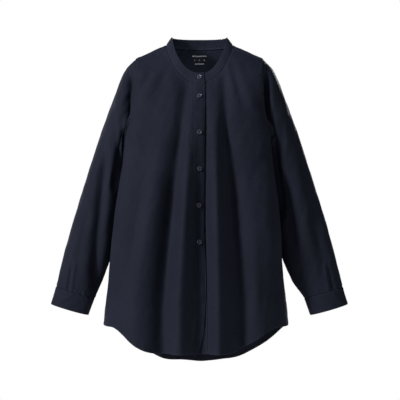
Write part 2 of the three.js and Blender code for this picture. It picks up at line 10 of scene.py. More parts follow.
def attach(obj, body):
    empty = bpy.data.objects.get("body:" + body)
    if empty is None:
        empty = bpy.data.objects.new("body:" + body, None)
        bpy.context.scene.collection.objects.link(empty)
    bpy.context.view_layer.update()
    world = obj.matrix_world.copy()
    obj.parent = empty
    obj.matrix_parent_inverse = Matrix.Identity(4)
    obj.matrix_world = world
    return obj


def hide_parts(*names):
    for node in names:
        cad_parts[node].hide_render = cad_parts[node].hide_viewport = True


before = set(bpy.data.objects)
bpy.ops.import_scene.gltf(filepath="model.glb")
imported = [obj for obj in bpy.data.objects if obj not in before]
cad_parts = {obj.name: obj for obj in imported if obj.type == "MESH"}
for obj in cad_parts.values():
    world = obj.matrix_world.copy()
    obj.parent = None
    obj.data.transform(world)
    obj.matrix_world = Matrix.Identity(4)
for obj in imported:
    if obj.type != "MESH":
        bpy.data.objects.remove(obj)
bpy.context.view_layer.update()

MM = 0.001  # every size below is in millimetres, and every piece is made in metres

# Cloth and seams
CLOTH = 0.9
DOUBLE = 2.0
BAND_RISE = 0.6
LAP_INSET = 2.5
SEAM_ROLL = {"depth": 1.1, "reach": 1.3}  # the cloth turns in at a seam
FELL = {"wide": 7.0, "rise": 0.45, "groove": 0.3}  # a seam's folded edges, stitched down

# Rings round the body, from the hem (0) to the neck seam (1), as the solids have them
BODY_RINGS = [
    dict(at=0.0, half=222, shift=-8, front=122, back=120, side=-670, cf=-728, cb=-772),
    dict(at=0.12, half=220, shift=-8, front=121, back=119, side=-632, cf=-672, cb=-700),
    dict(at=0.24, half=217, shift=-8, front=119, back=116, side=-588, cf=-604, cb=-612),
    dict(at=0.34, half=212, shift=-8, front=117, back=112, side=-530, cf=-532, cb=-532),
    dict(at=0.5, half=194, shift=-5, front=114, back=106, side=-385, cf=-385, cb=-385),
    dict(at=0.64, half=174, shift=-4, front=112, back=107, side=-252, cf=-252, cb=-252),
    dict(at=0.72, half=172, shift=-3, front=109, back=107, side=-178, cf=-217, cb=-205),
    dict(at=0.8, half=168, shift=-2, front=103, back=104, side=-98, cf=-184, cb=-157),
    dict(at=0.85, half=162, shift=-1, front=96, back=99, side=-54, cf=-164, cb=-122),
    dict(at=0.88, half=153, shift=0, front=91, back=95, side=-35, cf=-152, cb=-98),
    dict(at=0.92, half=131, shift=0, front=82, back=87, side=-23.5, cf=-132, cb=-64),
    dict(at=0.96, half=106, shift=0, front=72, back=76, side=-12, cf=-113, cb=-31),
    dict(at=1.0, half=79.7, shift=0, front=62, back=63, side=0, cf=-94, cb=-3),
]
ROUND = 0.87
SHOULDER_ROUND = 1.5
HEM_TURN = {
    "front": {"right": dict(high=62, low=20), "left": dict(high=58, low=14)},
    "back": {"right": dict(high=74, low=8), "left": dict(high=88, low=8)},
}
ARMHOLE = dict(low=0.64, high=0.88, seam=90, shoulder=82, front=26, back=32)
NECK_SEAM_ANGLE = 78

# Folds down the front and the back: x at the hem, waist and chest, where each starts (top), how far it stands
# out, half its width, and where it ends (low)
THROUGH_HEM = -2000  # the end of a fold that runs on through the hem
LEVELS = dict(hem=-610, waist=-372, chest=-210)
FRONT_FOLDS = [
    dict(hem=-196, waist=-170, chest=-160, top=40, out=17, wide=29, low=-600),
    dict(hem=-148, waist=-109, chest=-86, top=-130, out=12, wide=26, low=THROUGH_HEM),
    dict(hem=-87, waist=-64, chest=-42, top=-90, out=-25, wide=23, low=THROUGH_HEM),
    dict(hem=-46, waist=-35, chest=-27, top=-100, out=13, wide=16, low=THROUGH_HEM),
    dict(hem=7, waist=8, chest=8, top=-80, out=-18, wide=26, low=THROUGH_HEM),
    dict(hem=41, waist=36, chest=35, top=-90, out=14, wide=16, low=THROUGH_HEM),
    dict(hem=103, waist=82, chest=69, top=-50, out=-25, wide=24, low=THROUGH_HEM),
    dict(hem=176, waist=158, chest=150, top=40, out=19, wide=31, low=-600),
]
BACK_FOLDS = [
    dict(hem=-150, waist=-128, chest=-104, top=-170, out=8, wide=26, low=THROUGH_HEM),
    dict(hem=-98, waist=-80, chest=-60, top=-130, out=-21, wide=23, low=THROUGH_HEM),
    dict(hem=-50, waist=-38, chest=-30, top=-150, out=10, wide=18, low=THROUGH_HEM),
    dict(hem=4, waist=2, chest=0, top=-180, out=-18, wide=22, low=THROUGH_HEM),
    dict(hem=58, waist=44, chest=34, top=-150, out=12, wide=18, low=THROUGH_HEM),
    dict(hem=112, waist=90, chest=70, top=-120, out=-20, wide=24, low=THROUGH_HEM),
    dict(hem=160, waist=138, chest=112, top=-170, out=8, wide=26, low=THROUGH_HEM),
]
FOLD_GROWTH = 330
FOLD_DEATH = 160
FOLD_FADE = 0.5
SIDE_FOLDS = [
    dict(angle=64, out=7, wide=11),
    dict(angle=92, out=-17, wide=17),
    dict(angle=122, out=6, wide=12),
]
SIDE_FOLD_REACH = [
    dict(z=-700, share=0.0),
    dict(z=-600, share=0.25),
    dict(z=-500, share=0.75),
    dict(z=-400, share=1.0),
    dict(z=-320, share=0.66),
    dict(z=-252, share=0.12),
    dict(z=-190, share=0.0),
    dict(z=-120, share=0.0),
]

# Finer creases, as lines seen from the front or the back: ends in x and z, height or depth, half the width
FRONT_CREASES = [
    dict(x0=-122, z0=-57, x1=-150, z1=-110, out=1.6, wide=9),
    dict(x0=-99, z0=-70, x1=-136, z1=-142, out=2.2, wide=11),
    dict(x0=-112, z0=-72, x1=-146, z1=-128, out=-1.6, wide=8),
    dict(x0=-78, z0=-60, x1=-104, z1=-150, out=-1.4, wide=10),
    dict(x0=-62, z0=-92, x1=-58, z1=-230, out=1.5, wide=12),
    dict(x0=66, z0=-48, x1=82, z1=-120, out=2.0, wide=10),
    dict(x0=88, z0=-36, x1=130, z1=-175, out=1.8, wide=11),
    dict(x0=76, z0=-60, x1=104, z1=-160, out=-2.0, wide=9),
    dict(x0=130, z0=-62, x1=146, z1=-190, out=-1.4, wide=9),
    dict(x0=-154, z0=-200, x1=-132, z1=-262, out=1.8, wide=8),
    dict(x0=-160, z0=-236, x1=-128, z1=-300, out=-1.8, wide=9),
    dict(x0=152, z0=-206, x1=132, z1=-270, out=1.8, wide=8),
    dict(x0=158, z0=-240, x1=128, z1=-306, out=-1.8, wide=9),
    dict(x0=-120, z0=-330, x1=-170, z1=-560, out=-2.0, wide=12),
    dict(x0=-170, z0=-420, x1=-196, z1=-640, out=-2.2, wide=11),
    dict(x0=-62, z0=-420, x1=-70, z1=-690, out=1.6, wide=9),
    dict(x0=60, z0=-380, x1=70, z1=-700, out=-1.8, wide=10),
    dict(x0=128, z0=-420, x1=134, z1=-650, out=2.0, wide=10),
    dict(x0=160, z0=-380, x1=186, z1=-600, out=-2.4, wide=11),
    dict(x0=15, z0=-120, x1=17, z1=-690, out=-4.0, wide=6),
    dict(x0=-27, z0=-88, x1=-52, z1=-270, out=-7.0, wide=13),
    dict(x0=57, z0=-72, x1=64, z1=-260, out=-7.0, wide=12),
]
BACK_CREASES = [
    dict(x0=-120, z0=-70, x1=-84, z1=-180, out=1.8, wide=11),
    dict(x0=-136, z0=-110, x1=-110, z1=-230, out=-1.8, wide=10),
    dict(x0=118, z0=-66, x1=90, z1=-170, out=1.8, wide=11),
    dict(x0=138, z0=-120, x1=108, z1=-240, out=-1.8, wide=10),
    dict(x0=-60, z0=-60, x1=-66, z1=-240, out=-1.2, wide=13),
    dict(x0=34, z0=-50, x1=30, z1=-230, out=1.3, wide=14),
    dict(x0=-160, z0=-230, x1=-124, z1=-330, out=-2.0, wide=9),
    dict(x0=158, z0=-240, x1=126, z1=-320, out=-2.0, wide=9),
    dict(x0=-130, z0=-360, x1=-160, z1=-640, out=-2.4, wide=11),
    dict(x0=-24, z0=-420, x1=-28, z1=-720, out=2.2, wide=10),
    dict(x0=84, z0=-400, x1=92, z1=-690, out=2.0, wide=10),
    dict(x0=136, z0=-330, x1=170, z1=-610, out=-2.6, wide=11),
]

# Rings down a sleeve, near the solids' own. Here the front is also fuller (full: 1 is an ellipse), and the
# wearer's left sleeve hangs closer to the body by tuck.
SLEEVE_RINGS = [
    dict(at=0.0, outerX=153, outerZ=-35, innerX=168, innerZ=-252, depth=52, back=5, full=1.0, tuck=0),
    dict(at=0.05, outerX=176, outerZ=-59, innerX=172, innerZ=-259, depth=52, back=5, full=0.92, tuck=5),
    dict(at=0.11, outerX=191, outerZ=-88, innerX=173.5, innerZ=-270, depth=54, back=6, full=0.85, tuck=8),
    dict(at=0.19, outerX=208, outerZ=-135, innerX=175.5, innerZ=-290, depth=57, back=6, full=0.78, tuck=10),
    dict(at=0.3, outerX=231, outerZ=-199, innerX=179, innerZ=-322, depth=57, back=6, full=0.75, tuck=11),
    dict(at=0.42, outerX=255, outerZ=-271, innerX=184, innerZ=-362, depth=55, back=6, full=0.75, tuck=10),
    dict(at=0.58, outerX=287, outerZ=-371, innerX=196, innerZ=-430, depth=51, back=6, full=0.75, tuck=11),
    dict(at=0.74, outerX=314, outerZ=-462, innerX=210, innerZ=-500, depth=44, back=5, full=0.78, tuck=14),
    dict(at=0.88, outerX=332, outerZ=-530, innerX=232, innerZ=-562, depth=35, back=4, full=0.88, tuck=11),
    dict(at=1.0, outerX=344, outerZ=-580, innerX=252, innerZ=-607, depth=28, back=4, full=1.0, tuck=0),
]
CAP_REACH = 0.26
CREASE_START = 0.018
RIGHT_SLEEVE_CREASES = [
    dict(face="front", x0=-163, z0=-70, x1=-167, z1=-185, out=-17, wide=11),
    dict(face="front", x0=-174, z0=-210, x1=-203, z1=-345, out=-10, wide=10),
    dict(face="front", x0=-221, z0=-262, x1=-248, z1=-580, out=-12, wide=14),
    dict(face="front", x0=-212, z0=-300, x1=-236, z1=-530, out=6, wide=12),
    dict(face="back", x0=-182, z0=-110, x1=-196, z1=-290, out=-7, wide=14),
    dict(face="back", x0=-248, z0=-270, x1=-290, z1=-540, out=-8, wide=14),
]
LEFT_SLEEVE_CREASES = [
    dict(face="front", x0=153, z0=-70, x1=168, z1=-240, out=-22, wide=10),
    dict(face="front", x0=170, z0=-215, x1=192, z1=-410, out=-15, wide=10),
    dict(face="front", x0=200, z0=-330, x1=226, z1=-480, out=-7, wide=13),
    dict(face="front", x0=252, z0=-300, x1=300, z1=-540, out=-4, wide=12),
    dict(face="front", x0=228, z0=-300, x1=262, z1=-500, out=3, wide=15),
    dict(face="back", x0=180, z0=-120, x1=200, z1=-300, out=-7, wide=14),
    dict(face="back", x0=246, z0=-250, x1=286, z1=-520, out=-8, wide=14),
]
# Finer creases on the sleeves, the last three of each the tucks at the cuff
RIGHT_SLEEVE_FINE = [
    dict(face="front", x0=-196, z0=-120, x1=-186, z1=-250, out=2.0, wide=7),
    dict(face="front", x0=-216, z0=-180, x1=-238, z1=-330, out=-1.8, wide=9),
    dict(face="front", x0=-262, z0=-380, x1=-292, z1=-530, out=-2.2, wide=9),
    dict(face="front", x0=-276, z0=-330, x1=-262, z1=-400, out=1.6, wide=8),
    dict(face="back", x0=-214, z0=-160, x1=-250, z1=-330, out=1.8, wide=9),
    dict(face="back", x0=-276, z0=-340, x1=-256, z1=-420, out=-2.4, wide=9),
    dict(face="front", x0=-304, z0=-530, x1=-313, z1=-590, out=-3.6, wide=4),
    dict(face="front", x0=-296, z0=-520, x1=-306, z1=-592, out=2.4, wide=5),
    dict(face="back", x0=-298, z0=-510, x1=-312, z1=-590, out=-3.6, wide=4),
]
LEFT_SLEEVE_FINE = [
    dict(face="front", x0=200, z0=-120, x1=206, z1=-260, out=2.0, wide=7),
    dict(face="front", x0=226, z0=-190, x1=250, z1=-320, out=-1.8, wide=9),
    dict(face="front", x0=262, z0=-412, x1=282, z1=-482, out=-2.2, wide=7),
    dict(face="front", x0=270, z0=-350, x1=250, z1=-420, out=1.8, wide=8),
    dict(face="back", x0=216, z0=-150, x1=246, z1=-320, out=1.8, wide=9),
    dict(face="back", x0=278, z0=-350, x1=256, z1=-430, out=-2.4, wide=9),
    dict(face="front", x0=306, z0=-530, x1=316, z1=-590, out=-3.6, wide=4),
    dict(face="front", x0=298, z0=-520, x1=309, z1=-592, out=2.4, wide=5),
    dict(face="back", x0=300, z0=-510, x1=314, z1=-590, out=-3.6, wide=4),
]

CUFF = dict(back=4, underEnd=262, lap=31, ramp=28)
CUFF_EDGE = dict(outerX=356, outerZ=-622, innerX=267, innerZ=-648, depth=24)
CUFF_BUTTON_ANGLE = 279

COLLAR_TOP = dict(half=66, front=53, back=54, side=18.5, cf=-72, cb=19.5)
COLLAR_LAP = 12

BAND_HALF = 13.3
UPPER_BAND_LINE = [
    dict(z=-772, x=-20),
    dict(z=-728, x=-15),
    dict(z=-684, x=-4),
    dict(z=-631, x=1),
    dict(z=-564, x=3),
    dict(z=-500, x=1),
    dict(z=-440, x=-2),
    dict(z=-372, x=-2),
    dict(z=-300, x=-0.5),
    dict(z=0, x=-0.5),
]
UNDER_BAND_LINE = [
    dict(z=-772, x=4),
    dict(z=-640, x=4),
    dict(z=-500, x=1),
    dict(z=-372, x=0),
    dict(z=0, x=0),
]
LAP_FADE = {"from": 22, "to": 54}

BUTTON = dict(radius=5.7)
BUTTON_LIFT = 0.5
FIRST_BUTTON_Z = -129
BUTTON_PITCH = 85
BAND_BUTTONS = 5

# How finely the cloth is divided
FRONT_COLUMNS = 104
BACK_COLUMNS = 150
LOWER_COUNT = 120
ARMHOLE_COUNT = 84
SHOULDER_COUNT = 26
SLEEVE_COLUMNS = 128
SLEEVE_ROWS = 190

DEGREE = math.pi / 180
rng = np.random.default_rng(11)


def lerp(a, b, t):
    return a + (b - a) * t


def smooth(start, end, value):
    t = np.clip((value - start) / (end - start), 0, 1)
    return t * t * (3 - 2 * t)


def bell(distance, wide):
    return np.exp(-((distance / wide) ** 2))


def signed_power(value, power):
    return np.sign(value) * np.abs(value) ** power


def unit(vectors):
    return vectors / np.maximum(np.linalg.norm(vectors, axis=-1, keepdims=True), 1e-9)


def column(rows, key, name, at):
    """One column of a table at a key, along a smooth line that never overshoots its rows."""
    keys = np.array([row[key] for row in rows], float)
    values = np.array([row[name] for row in rows], float)
    slopes = np.diff(values) / np.diff(keys)
    tangents = np.concatenate([slopes[:1], np.zeros(len(values) - 2), slopes[-1:]])
    before, after = slopes[:-1], slopes[1:]
    turn = before * after > 0
    tangents[1:-1][turn] = 2 * before[turn] * after[turn] / (before[turn] + after[turn])
    at = np.clip(at, keys[0], keys[-1])
    i = np.clip(np.searchsorted(keys, at, side="right") - 1, 0, len(keys) - 2)
    width = keys[i + 1] - keys[i]
    t = (at - keys[i]) / width
    t2, t3 = t * t, t * t * t
    return (
        (2 * t3 - 3 * t2 + 1) * values[i]
        + (t3 - 2 * t2 + t) * width * tangents[i]
        + (3 * t2 - 2 * t3) * values[i + 1]
        + (t3 - t2) * width * tangents[i + 1]
    )


def plain_body(angle, at):
    """The body's surface with no folds; angle in degrees from the centre front, positive to +X."""
    angle, at = np.broadcast_arrays(np.asarray(angle, float), np.asarray(at, float))
    ring = {name: column(BODY_RINGS, "at", name, at) for name in BODY_RINGS[0] if name != "at"}
    sine, cosine = np.sin(angle * DEGREE), np.cos(angle * DEGREE)
    in_front, right = cosine > 0, sine < 0
    from_centre = np.arccos(np.clip(np.abs(cosine), 0, 1)) / DEGREE
    hem_share = np.zeros_like(angle)
    for face, is_face in (("front", in_front), ("back", ~in_front)):
        for side, is_side in (("right", right), ("left", ~right)):
            turn = HEM_TURN[face][side]
            share = smooth(turn["high"], turn["low"], from_centre)
            hem_share = np.where(is_face & is_side, share, hem_share)
    share = np.where(at < ARMHOLE["low"], hem_share, np.abs(cosine) ** SHOULDER_ROUND)
    centre_z = np.where(in_front, ring["cf"], ring["cb"])
    depth = np.where(in_front, -ring["front"], ring["back"])
    x = ring["shift"] + ring["half"] * signed_power(sine, ROUND)
    y = depth * np.abs(cosine) ** ROUND
    return np.stack([x, y, ring["side"] + (centre_z - ring["side"]) * share], axis=-1)


STEP = dict(angle=0.6, at=0.004)


def normal_of(surface, angle, at):
    low, high = np.maximum(0, at - STEP["at"]), np.minimum(1, at + STEP["at"])
    across = surface(angle + STEP["angle"], at) - surface(angle - STEP["angle"], at)
    up = surface(angle, high) - surface(angle, low)
    return unit(np.cross(across, up))


def fold_depth(angle, point):
    in_centre = np.abs(np.cos(angle * DEGREE)) ** FOLD_FADE
    in_front = np.cos(angle * DEGREE) > 0
    x, z = point[..., 0], point[..., 2]
    out = np.zeros_like(x)
    for table, here in ((FRONT_FOLDS, in_front), (BACK_FOLDS, ~in_front)):
        for fold in table:
            line = [dict(z=LEVELS[level], x=fold[level]) for level in ("hem", "waist", "chest")]
            share = smooth(fold["top"], fold["top"] - FOLD_GROWTH, z)
            share = share * smooth(fold["low"], fold["low"] + FOLD_DEATH, z)
            aside = x - column(line, "z", "x", z)
            out += np.where(here, fold["out"] * share * in_centre * bell(aside, fold["wide"]), 0)
    reach = column(SIDE_FOLD_REACH, "z", "share", z)
    turned = np.abs((angle + 540) % 360 - 180)
    for fold in SIDE_FOLDS:
        out += fold["out"] * reach * bell(turned - fold["angle"], fold["wide"])
    return out


def body(angle, at):
    angle, at = np.broadcast_arrays(np.asarray(angle, float), np.asarray(at, float))
    point = plain_body(angle, at)
    return point + normal_of(plain_body, angle, at) * fold_depth(angle, point)[..., None]


def angle_at_x(x, at):
    off = x - column(BODY_RINGS, "at", "shift", at)
    return np.arcsin(signed_power(off / column(BODY_RINGS, "at", "half", at), 1 / ROUND)) / DEGREE


def line_creases(creases, point, facing_front):
    """How far a table's creases move the cloth out, by its place seen from the front or the back."""
    out = np.zeros(point.shape[:-1])
    for crease in creases:
        along_x, along_z = crease["x1"] - crease["x0"], crease["z1"] - crease["z0"]
        length = math.hypot(along_x, along_z)
        off_x, off_z = point[..., 0] - crease["x0"], point[..., 2] - crease["z0"]
        along = (off_x * along_x + off_z * along_z) / length**2
        aside = (off_x * along_z - off_z * along_x) / length
        ends = smooth(-0.15, 0.2, along) * smooth(1.15, 0.8, along)
        facing = facing_front if crease.get("face", "front") == "front" else -facing_front
        out += crease["out"] * ends * bell(aside, crease["wide"]) * smooth(0, 0.6, facing)
    return out


def make_waves(count, longest, shortest):
    """Directions, lengths and phases of soft waves, the same on each run."""
    ways = unit(rng.normal(size=(count, 3)) * np.array([1.0, 1.0, 0.55]))
    lengths = rng.uniform(shortest, longest, count)
    phases = rng.uniform(0, 2 * math.pi, count)
    return list(zip(ways, lengths, phases))


BROAD_WAVES = make_waves(14, 60, 20)
FINE_WAVES = make_waves(12, 17, 8)
PUCKER_WAVES = make_waves(10, 13, 6)


def ripples(point, waves, amplitude):
    out = np.zeros(point.shape[:-1])
    for way, length, phase in waves:
        out += np.sin(point @ way * 2 * math.pi / length + phase)
    return out * amplitude / math.sqrt(len(waves))


def grid_normals(points, wrap=False):
    """Normals of a grid: across the columns by up the rows."""
    if wrap:
        across = np.roll(points, -1, axis=1) - np.roll(points, 1, axis=1)
    else:
        across = np.gradient(points, axis=1)
    return unit(np.cross(across, np.gradient(points, axis=0)))


def run_length(points, axis):
    """Distance along the rows (axis 1) or the columns (axis 0) of a grid, from its start."""
    steps = np.linalg.norm(np.diff(points, axis=axis), axis=-1)
    pad = np.zeros_like(np.take(steps, [0], axis=axis))
    return np.concatenate([pad, np.cumsum(steps, axis=axis)], axis=axis)


def add_mesh(name, vertices, faces, material, uv=None, seam=None):
    mesh = bpy.data.meshes.new(name)
    mesh.from_pydata((np.asarray(vertices) * MM).tolist(), [], np.asarray(faces).tolist())
    mesh.polygons.foreach_set("use_smooth", np.ones(len(mesh.polygons), bool))
    corners = np.zeros(len(mesh.loops), int)
    mesh.loops.foreach_get("vertex_index", corners)
    if uv is not None:
        layer = mesh.uv_layers.new(name="cut")
        layer.data.foreach_set("uv", (np.asarray(uv)[corners] * MM).ravel())
    if seam is not None:
        attribute = mesh.attributes.new("seam", "FLOAT", "POINT")
        attribute.data.foreach_set("value", np.asarray(seam, float))
    mesh.update()
    obj = bpy.data.objects.new(name, mesh)
    bpy.context.scene.collection.objects.link(obj)
    obj.data.materials.append(material)
    return obj


def cloth_shell(name, points, thick, material, wrap=False, outward=1, uv=None, seam=None):
    """A closed thin wall on a grid of outer points: rows up, columns across."""
    rows, columns = points.shape[:2]
    normals = grid_normals(points, wrap) * outward
    inner = points - normals * np.broadcast_to(thick, (rows, columns))[..., None]
    index = np.arange(rows * columns).reshape(rows, columns)
    if wrap:
        index = np.concatenate([index, index[:, :1]], axis=1)
    a, b, c, d = index[:-1, :-1], index[:-1, 1:], index[1:, 1:], index[1:, :-1]
    outer_faces = np.stack([a, b, c, d], axis=-1).reshape(-1, 4)
    layer = rows * columns
    inner_faces = outer_faces[:, ::-1] + layer
    strips = []
    borders = [index[0], index[-1][::-1]]
    if not wrap:
        borders += [index[:, -1], index[::-1, 0]]
    for border in borders:
        strips.append(np.stack([border[1:], border[:-1], border[:-1] + layer, border[1:] + layer], axis=-1))
    faces = np.concatenate([outer_faces, inner_faces, *strips])
    if outward < 0:
        faces = faces[:, ::-1]
    vertices = np.concatenate([points.reshape(-1, 3), inner.reshape(-1, 3)])
    both = lambda values: None if values is None else np.concatenate([values, values])
    flat_uv = None if uv is None else both(np.asarray(uv).reshape(-1, 2))
    flat_seam = None if seam is None else both(np.asarray(seam).reshape(-1))
    return add_mesh(name, vertices, faces, material, flat_uv, flat_seam)


def edge_lip(thick, distance, reach=0.9):
    """Thins a wall to a rounded lip at a folded edge: its thickness there, and how far its face drops."""
    share = 1 - np.clip(distance / reach, 0, 1)
    thin = np.maximum(0.12, thick * np.sqrt(1 - share**2))
    return thin, (thick - thin) / 2


def seam_relief(distance, fell=0.0):
    """Turned in at the seam, and raised where its edges are folded under and stitched down."""
    out = -SEAM_ROLL["depth"] * bell(distance, SEAM_ROLL["reach"])
    if fell:
        out = out + FELL["rise"] * smooth(fell + 0.8, fell - 0.8, distance)
        out = out - FELL["groove"] * bell(distance - fell + 1.2, 0.9)
    return out


def nearest_to(points, lines, step=0.8):
    """Each grid point's distance to the nearest of some lines of points."""
    dense = []
    for line in lines:
        lengths = np.concatenate([[0], np.cumsum(np.linalg.norm(np.diff(line, axis=0), axis=1))])
        places = np.arange(0, lengths[-1] + step, step)
        dense.append(np.stack([np.interp(places, lengths, line[:, k]) for k in range(3)], axis=-1))
    dense = np.concatenate(dense)
    tree = KDTree(len(dense))
    for i, spot in enumerate(dense):
        tree.insert(spot, i)
    tree.balance()
    found = np.array([tree.find(spot)[2] for spot in points.reshape(-1, 3)])
    return found.reshape(points.shape[:-1])


# Steps in from a sewn edge and from a free edge, and fewer for narrow strips
SEAM_STEPS = [0, 0.35, 0.8, 1.4, 2.2, 3.4, 4.6, 5.5, 6.2, 6.9, 7.8, 9.5, 12]
FREE_STEPS = [0, 0.12, 0.35, 0.75, 1.3, 2.4, 3.8, 4.8, 5.5, 6.2, 7.0, 8.2, 10, 12.5]
STRIP_SEAM_STEPS = [0, 0.35, 0.8, 1.4, 2.2, 3.2]
STRIP_FREE_STEPS = [0, 0.12, 0.35, 0.75, 1.3, 2.2, 3.2]


def shares_from_edges(length, from_start, from_end, middle):
    """Shares along a length, with set distances at both ends and even steps between them."""
    start, end = np.array(from_start) / length, 1 - np.array(from_end[::-1]) / length
    return np.concatenate([start, np.linspace(start[-1], end[0], middle + 2)[1:-1], end])


# Stitches: short rounded bars of thread along a line on the cloth
STITCH = dict(pitch=3.0, length=2.2, radius=0.2, sunk=0.04)
BAR_RINGS = [dict(at=0.0, wide=0.35), dict(at=0.2, wide=1.0), dict(at=0.8, wide=1.0), dict(at=1.0, wide=0.35)]
BAR_SIDES = 5


def bars(starts, ends, ups, radius, sunk):
    """Vertices and faces of many small bars of thread."""
    along = unit(ends - starts)
    side = unit(np.cross(along, ups))
    rings = []
    for ring in BAR_RINGS:
        centre = lerp(starts, ends, ring["at"]) + ups * (ring["wide"] * radius * 0.6 - sunk)
        for k in range(BAR_SIDES):
            turn = 2 * math.pi * k / BAR_SIDES
            outward = side * math.cos(turn) + ups * math.sin(turn) * 0.7
            rings.append(centre + outward * radius * ring["wide"])
    block = np.stack(rings, axis=1)
    pattern = []
    for r in range(len(BAR_RINGS) - 1):
        for k in range(BAR_SIDES):
            a, b = r * BAR_SIDES + k, r * BAR_SIDES + (k + 1) % BAR_SIDES
            pattern.append([a, b, b + BAR_SIDES, a + BAR_SIDES])
    bases = np.arange(len(block)) * len(rings)
    faces = (bases[:, None, None] + np.array(pattern)[None]).reshape(-1, 4)
    return block.reshape(-1, 3), faces


def join_blocks(blocks):
    vertices, faces, count = [], [], 0
    for points, quads in blocks:
        vertices.append(points)
        faces.append(quads + count)
        count += len(points)
    return np.concatenate(vertices), np.concatenate(faces)


def run_of_stitches(line, normals):
    lengths = np.concatenate([[0], np.cumsum(np.linalg.norm(np.diff(line, axis=0), axis=1))])
    places = np.arange(STITCH["pitch"] / 2, lengths[-1] - STITCH["pitch"] / 2, STITCH["pitch"])

    def on_line(values, at):
        return np.stack([np.interp(at, lengths, values[:, k]) for k in range(3)], axis=-1)

    start = on_line(line, places - STITCH["length"] / 2)
    end = on_line(line, places + STITCH["length"] / 2)
    return bars(start, end, unit(on_line(normals, places)), STITCH["radius"], STITCH["sunk"])


def line_at(points, normals, distance, wanted):
    """The line at a wanted distance along each row, with the cloth's normals there."""
    if distance[0, 0] > distance[0, -1]:
        points, normals, distance = points[:, ::-1], normals[:, ::-1], distance[:, ::-1]

    def at_wanted(values):
        return np.array([[np.interp(wanted, d, v[:, k]) for k in range(3)] for d, v in zip(distance, values)])

    return at_wanted(points), unit(at_wanted(normals))


def turned(*grids):
    return [np.swapaxes(grid, 0, 1) for grid in grids]


def dress(obj, node):
    """Ties a piece to the shirt's body and hides the solid that it stands for."""
    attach(obj, "root")
    if node:
        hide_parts(node)
    return obj


def sewn(node, obj, stitch_runs):
    """A cloth piece with its stitching, both tied to the shirt's body in place of the piece's solid."""
    dress(obj, node)
    vertices, faces = join_blocks([run_of_stitches(*run) for run in stitch_runs])
    thread = add_mesh(node + "_stitches", vertices, faces, thread_material)
    dress(thread, None)


# Materials
def node_setup(material):
    material.use_nodes = True
    nodes, links = material.node_tree.nodes, material.node_tree.links
    return nodes, links, nodes["Principled BSDF"]


def noise(nodes, links, coordinates, scale, stretch=(1, 1, 1), detail=3.0):
    mapping = nodes.new("ShaderNodeMapping")
    mapping.inputs["Scale"].default_value = stretch
    texture = nodes.new("ShaderNodeTexNoise")
    texture.inputs["Scale"].default_value = scale
    texture.inputs["Detail"].default_value = detail
    links.new(coordinates, mapping.inputs["Vector"])
    links.new(mapping.outputs["Vector"], texture.inputs["Vector"])
    return texture.outputs["Fac"]


def math_node(nodes, links, operation, *values):
    node = nodes.new("ShaderNodeMath")
    node.operation = operation
    for socket, value in zip(node.inputs, values):
        if isinstance(value, (int, float)):
            socket.default_value = value
        else:
            links.new(value, socket)
    return node.outputs[0]


def ramp(nodes, links, value, stops):
    node = nodes.new("ShaderNodeValToRGB")
    while len(node.color_ramp.elements) < len(stops):
        node.color_ramp.elements.new(0.5)
    for element, (place, colour) in zip(node.color_ramp.elements, stops):
        element.position = place
        element.color = (*colour, 1)
    links.new(value, node.inputs["Fac"])
    return node.outputs["Color"]


def mix(nodes, links, factor, first, second, blend="MIX"):
    node = nodes.new("ShaderNodeMix")
    node.data_type = "RGBA"
    node.blend_type = blend
    for name, value in (("Factor", factor), ("A", first), ("B", second)):
        kind = "VALUE" if name == "Factor" else "RGBA"
        socket = next(s for s in node.inputs if s.name == name and s.type == kind)
        if isinstance(value, tuple):
            socket.default_value = (*value, 1)
        elif isinstance(value, (int, float)):
            socket.default_value = value
        else:
            links.new(value, socket)
    return [s for s in node.outputs if s.type == "RGBA"][0]


def bump(nodes, links, height, distance, strength, normal=None):
    node = nodes.new("ShaderNodeBump")
    node.inputs["Strength"].default_value = strength
    node.inputs["Distance"].default_value = distance
    links.new(height, node.inputs["Height"])
    if normal is not None:
        links.new(normal, node.inputs["Normal"])
    return node.outputs["Normal"]


# The last tone lightens seams and folded edges: partly real wear, partly a painted highlight on their ridges.
NAVY = dict(dark=(0.0072, 0.0094, 0.0195), middle=(0.0112, 0.0142, 0.0280), light=(0.0165, 0.0205, 0.0380),
            worn=(0.0300, 0.0360, 0.0580))
YARN = 0.00042  # metres from one yarn to the next


